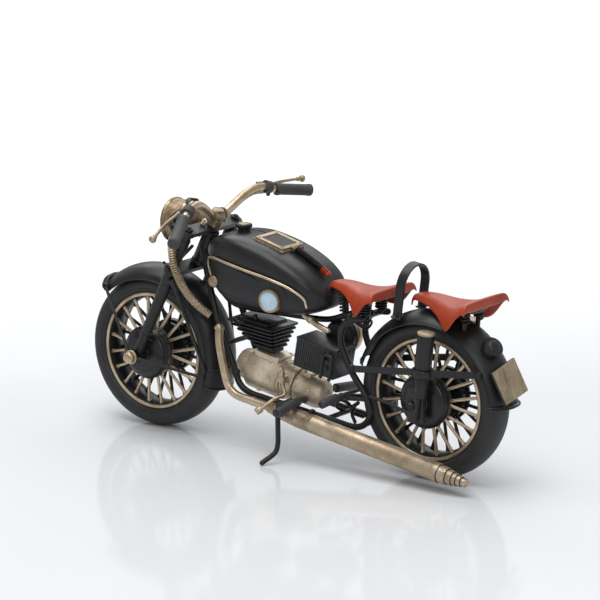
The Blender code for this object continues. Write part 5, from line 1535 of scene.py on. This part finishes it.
def build_floor():
    paint = Paint("floor_gloss", roughness=0.09, specular=0.32)
    cloud = paint.noise(3.0, 3.0)
    paint.colour(paint.mix(paint.ramp(cloud, 0.3, 0.7), (0.70, 0.71, 0.725), (0.74, 0.748, 0.76)))
    # Painted light: the floor glows more the farther it lies behind the bike from the camera, standing in for
    # lamp light on the far floor.
    behind = paint.nodes.new("ShaderNodeVectorMath")
    behind.operation = "DOT_PRODUCT"
    paint.links.new(paint.where, behind.inputs[0])
    behind.inputs[1].default_value = (0.587, -0.809, 0.0)
    painted_far_light = paint.ramp(behind.outputs["Value"], 0.1, 0.9, 0.0, 0.55)
    paint.shader.inputs["Emission Color"].default_value = (1.0, 1.0, 1.0, 1.0)
    paint.links.new(painted_far_light, paint.shader.inputs["Emission Strength"])
    bm = bmesh.new()
    bmesh.ops.create_grid(bm, x_segments=4, y_segments=4, size=12.0)
    mesh = bpy.data.meshes.new("floor")
    bm.to_mesh(mesh)
    bm.free()
    mesh.materials.append(paint.material)
    floor = bpy.data.objects.new("floor", mesh)
    floor.location = (0.0, 0.0, -0.0002)
    bpy.context.scene.collection.objects.link(floor)


def add_light(name, place_at, target, size, power):
    data = bpy.data.lights.new(name, "AREA")
    data.shape = "RECTANGLE"
    data.size, data.size_y = size
    data.energy = power
    light = bpy.data.objects.new(name, data)
    light.location = place_at
    light.rotation_euler = (Vector(target) - Vector(place_at)).to_track_quat("-Z", "Y").to_euler()
    bpy.context.scene.collection.objects.link(light)


def build_studio():
    world = bpy.data.worlds.new("studio")
    world.use_nodes = True
    sky = world.node_tree.nodes["Background"]
    sky.inputs["Color"].default_value = (0.95, 0.97, 1.0, 1.0)
    sky.inputs["Strength"].default_value = 0.55
    bpy.context.scene.world = world
    middle = (0.0, 0.0, 0.06)
    add_light("top", (0.1, 0.15, 1.3), middle, (1.3, 0.9), 14.0)
    add_light("camera_side", (-0.9, 1.1, 0.9), middle, (0.7, 0.7), 4.0)
    add_light("back", (0.7, -1.0, 1.1), middle, (1.4, 0.8), 7.0)


CAMERA_DISTANCE = 1.588
CAMERA_AZIMUTH = radians(54.07)
CAMERA_RISE = radians(12.87)
CAMERA_TARGET = place((81.2, 0.0, 77.1))


def build_camera():
    data = bpy.data.cameras.new("camera")
    data.lens = 191.8
    data.sensor_width = 36.0
    data.clip_start = 0.05
    camera = bpy.data.objects.new("camera", data)
    away = Vector((
        -cos(CAMERA_AZIMUTH) * cos(CAMERA_RISE), sin(CAMERA_AZIMUTH) * cos(CAMERA_RISE), sin(CAMERA_RISE)
    ))
    camera.location = CAMERA_TARGET + away * CAMERA_DISTANCE
    camera.rotation_euler = (-away).to_track_quat("-Z", "Y").to_euler()
    bpy.context.scene.collection.objects.link(camera)
    bpy.context.scene.camera = camera
    bpy.context.scene.view_settings.view_transform = "Standard"


build_floor()
build_studio()
build_camera()
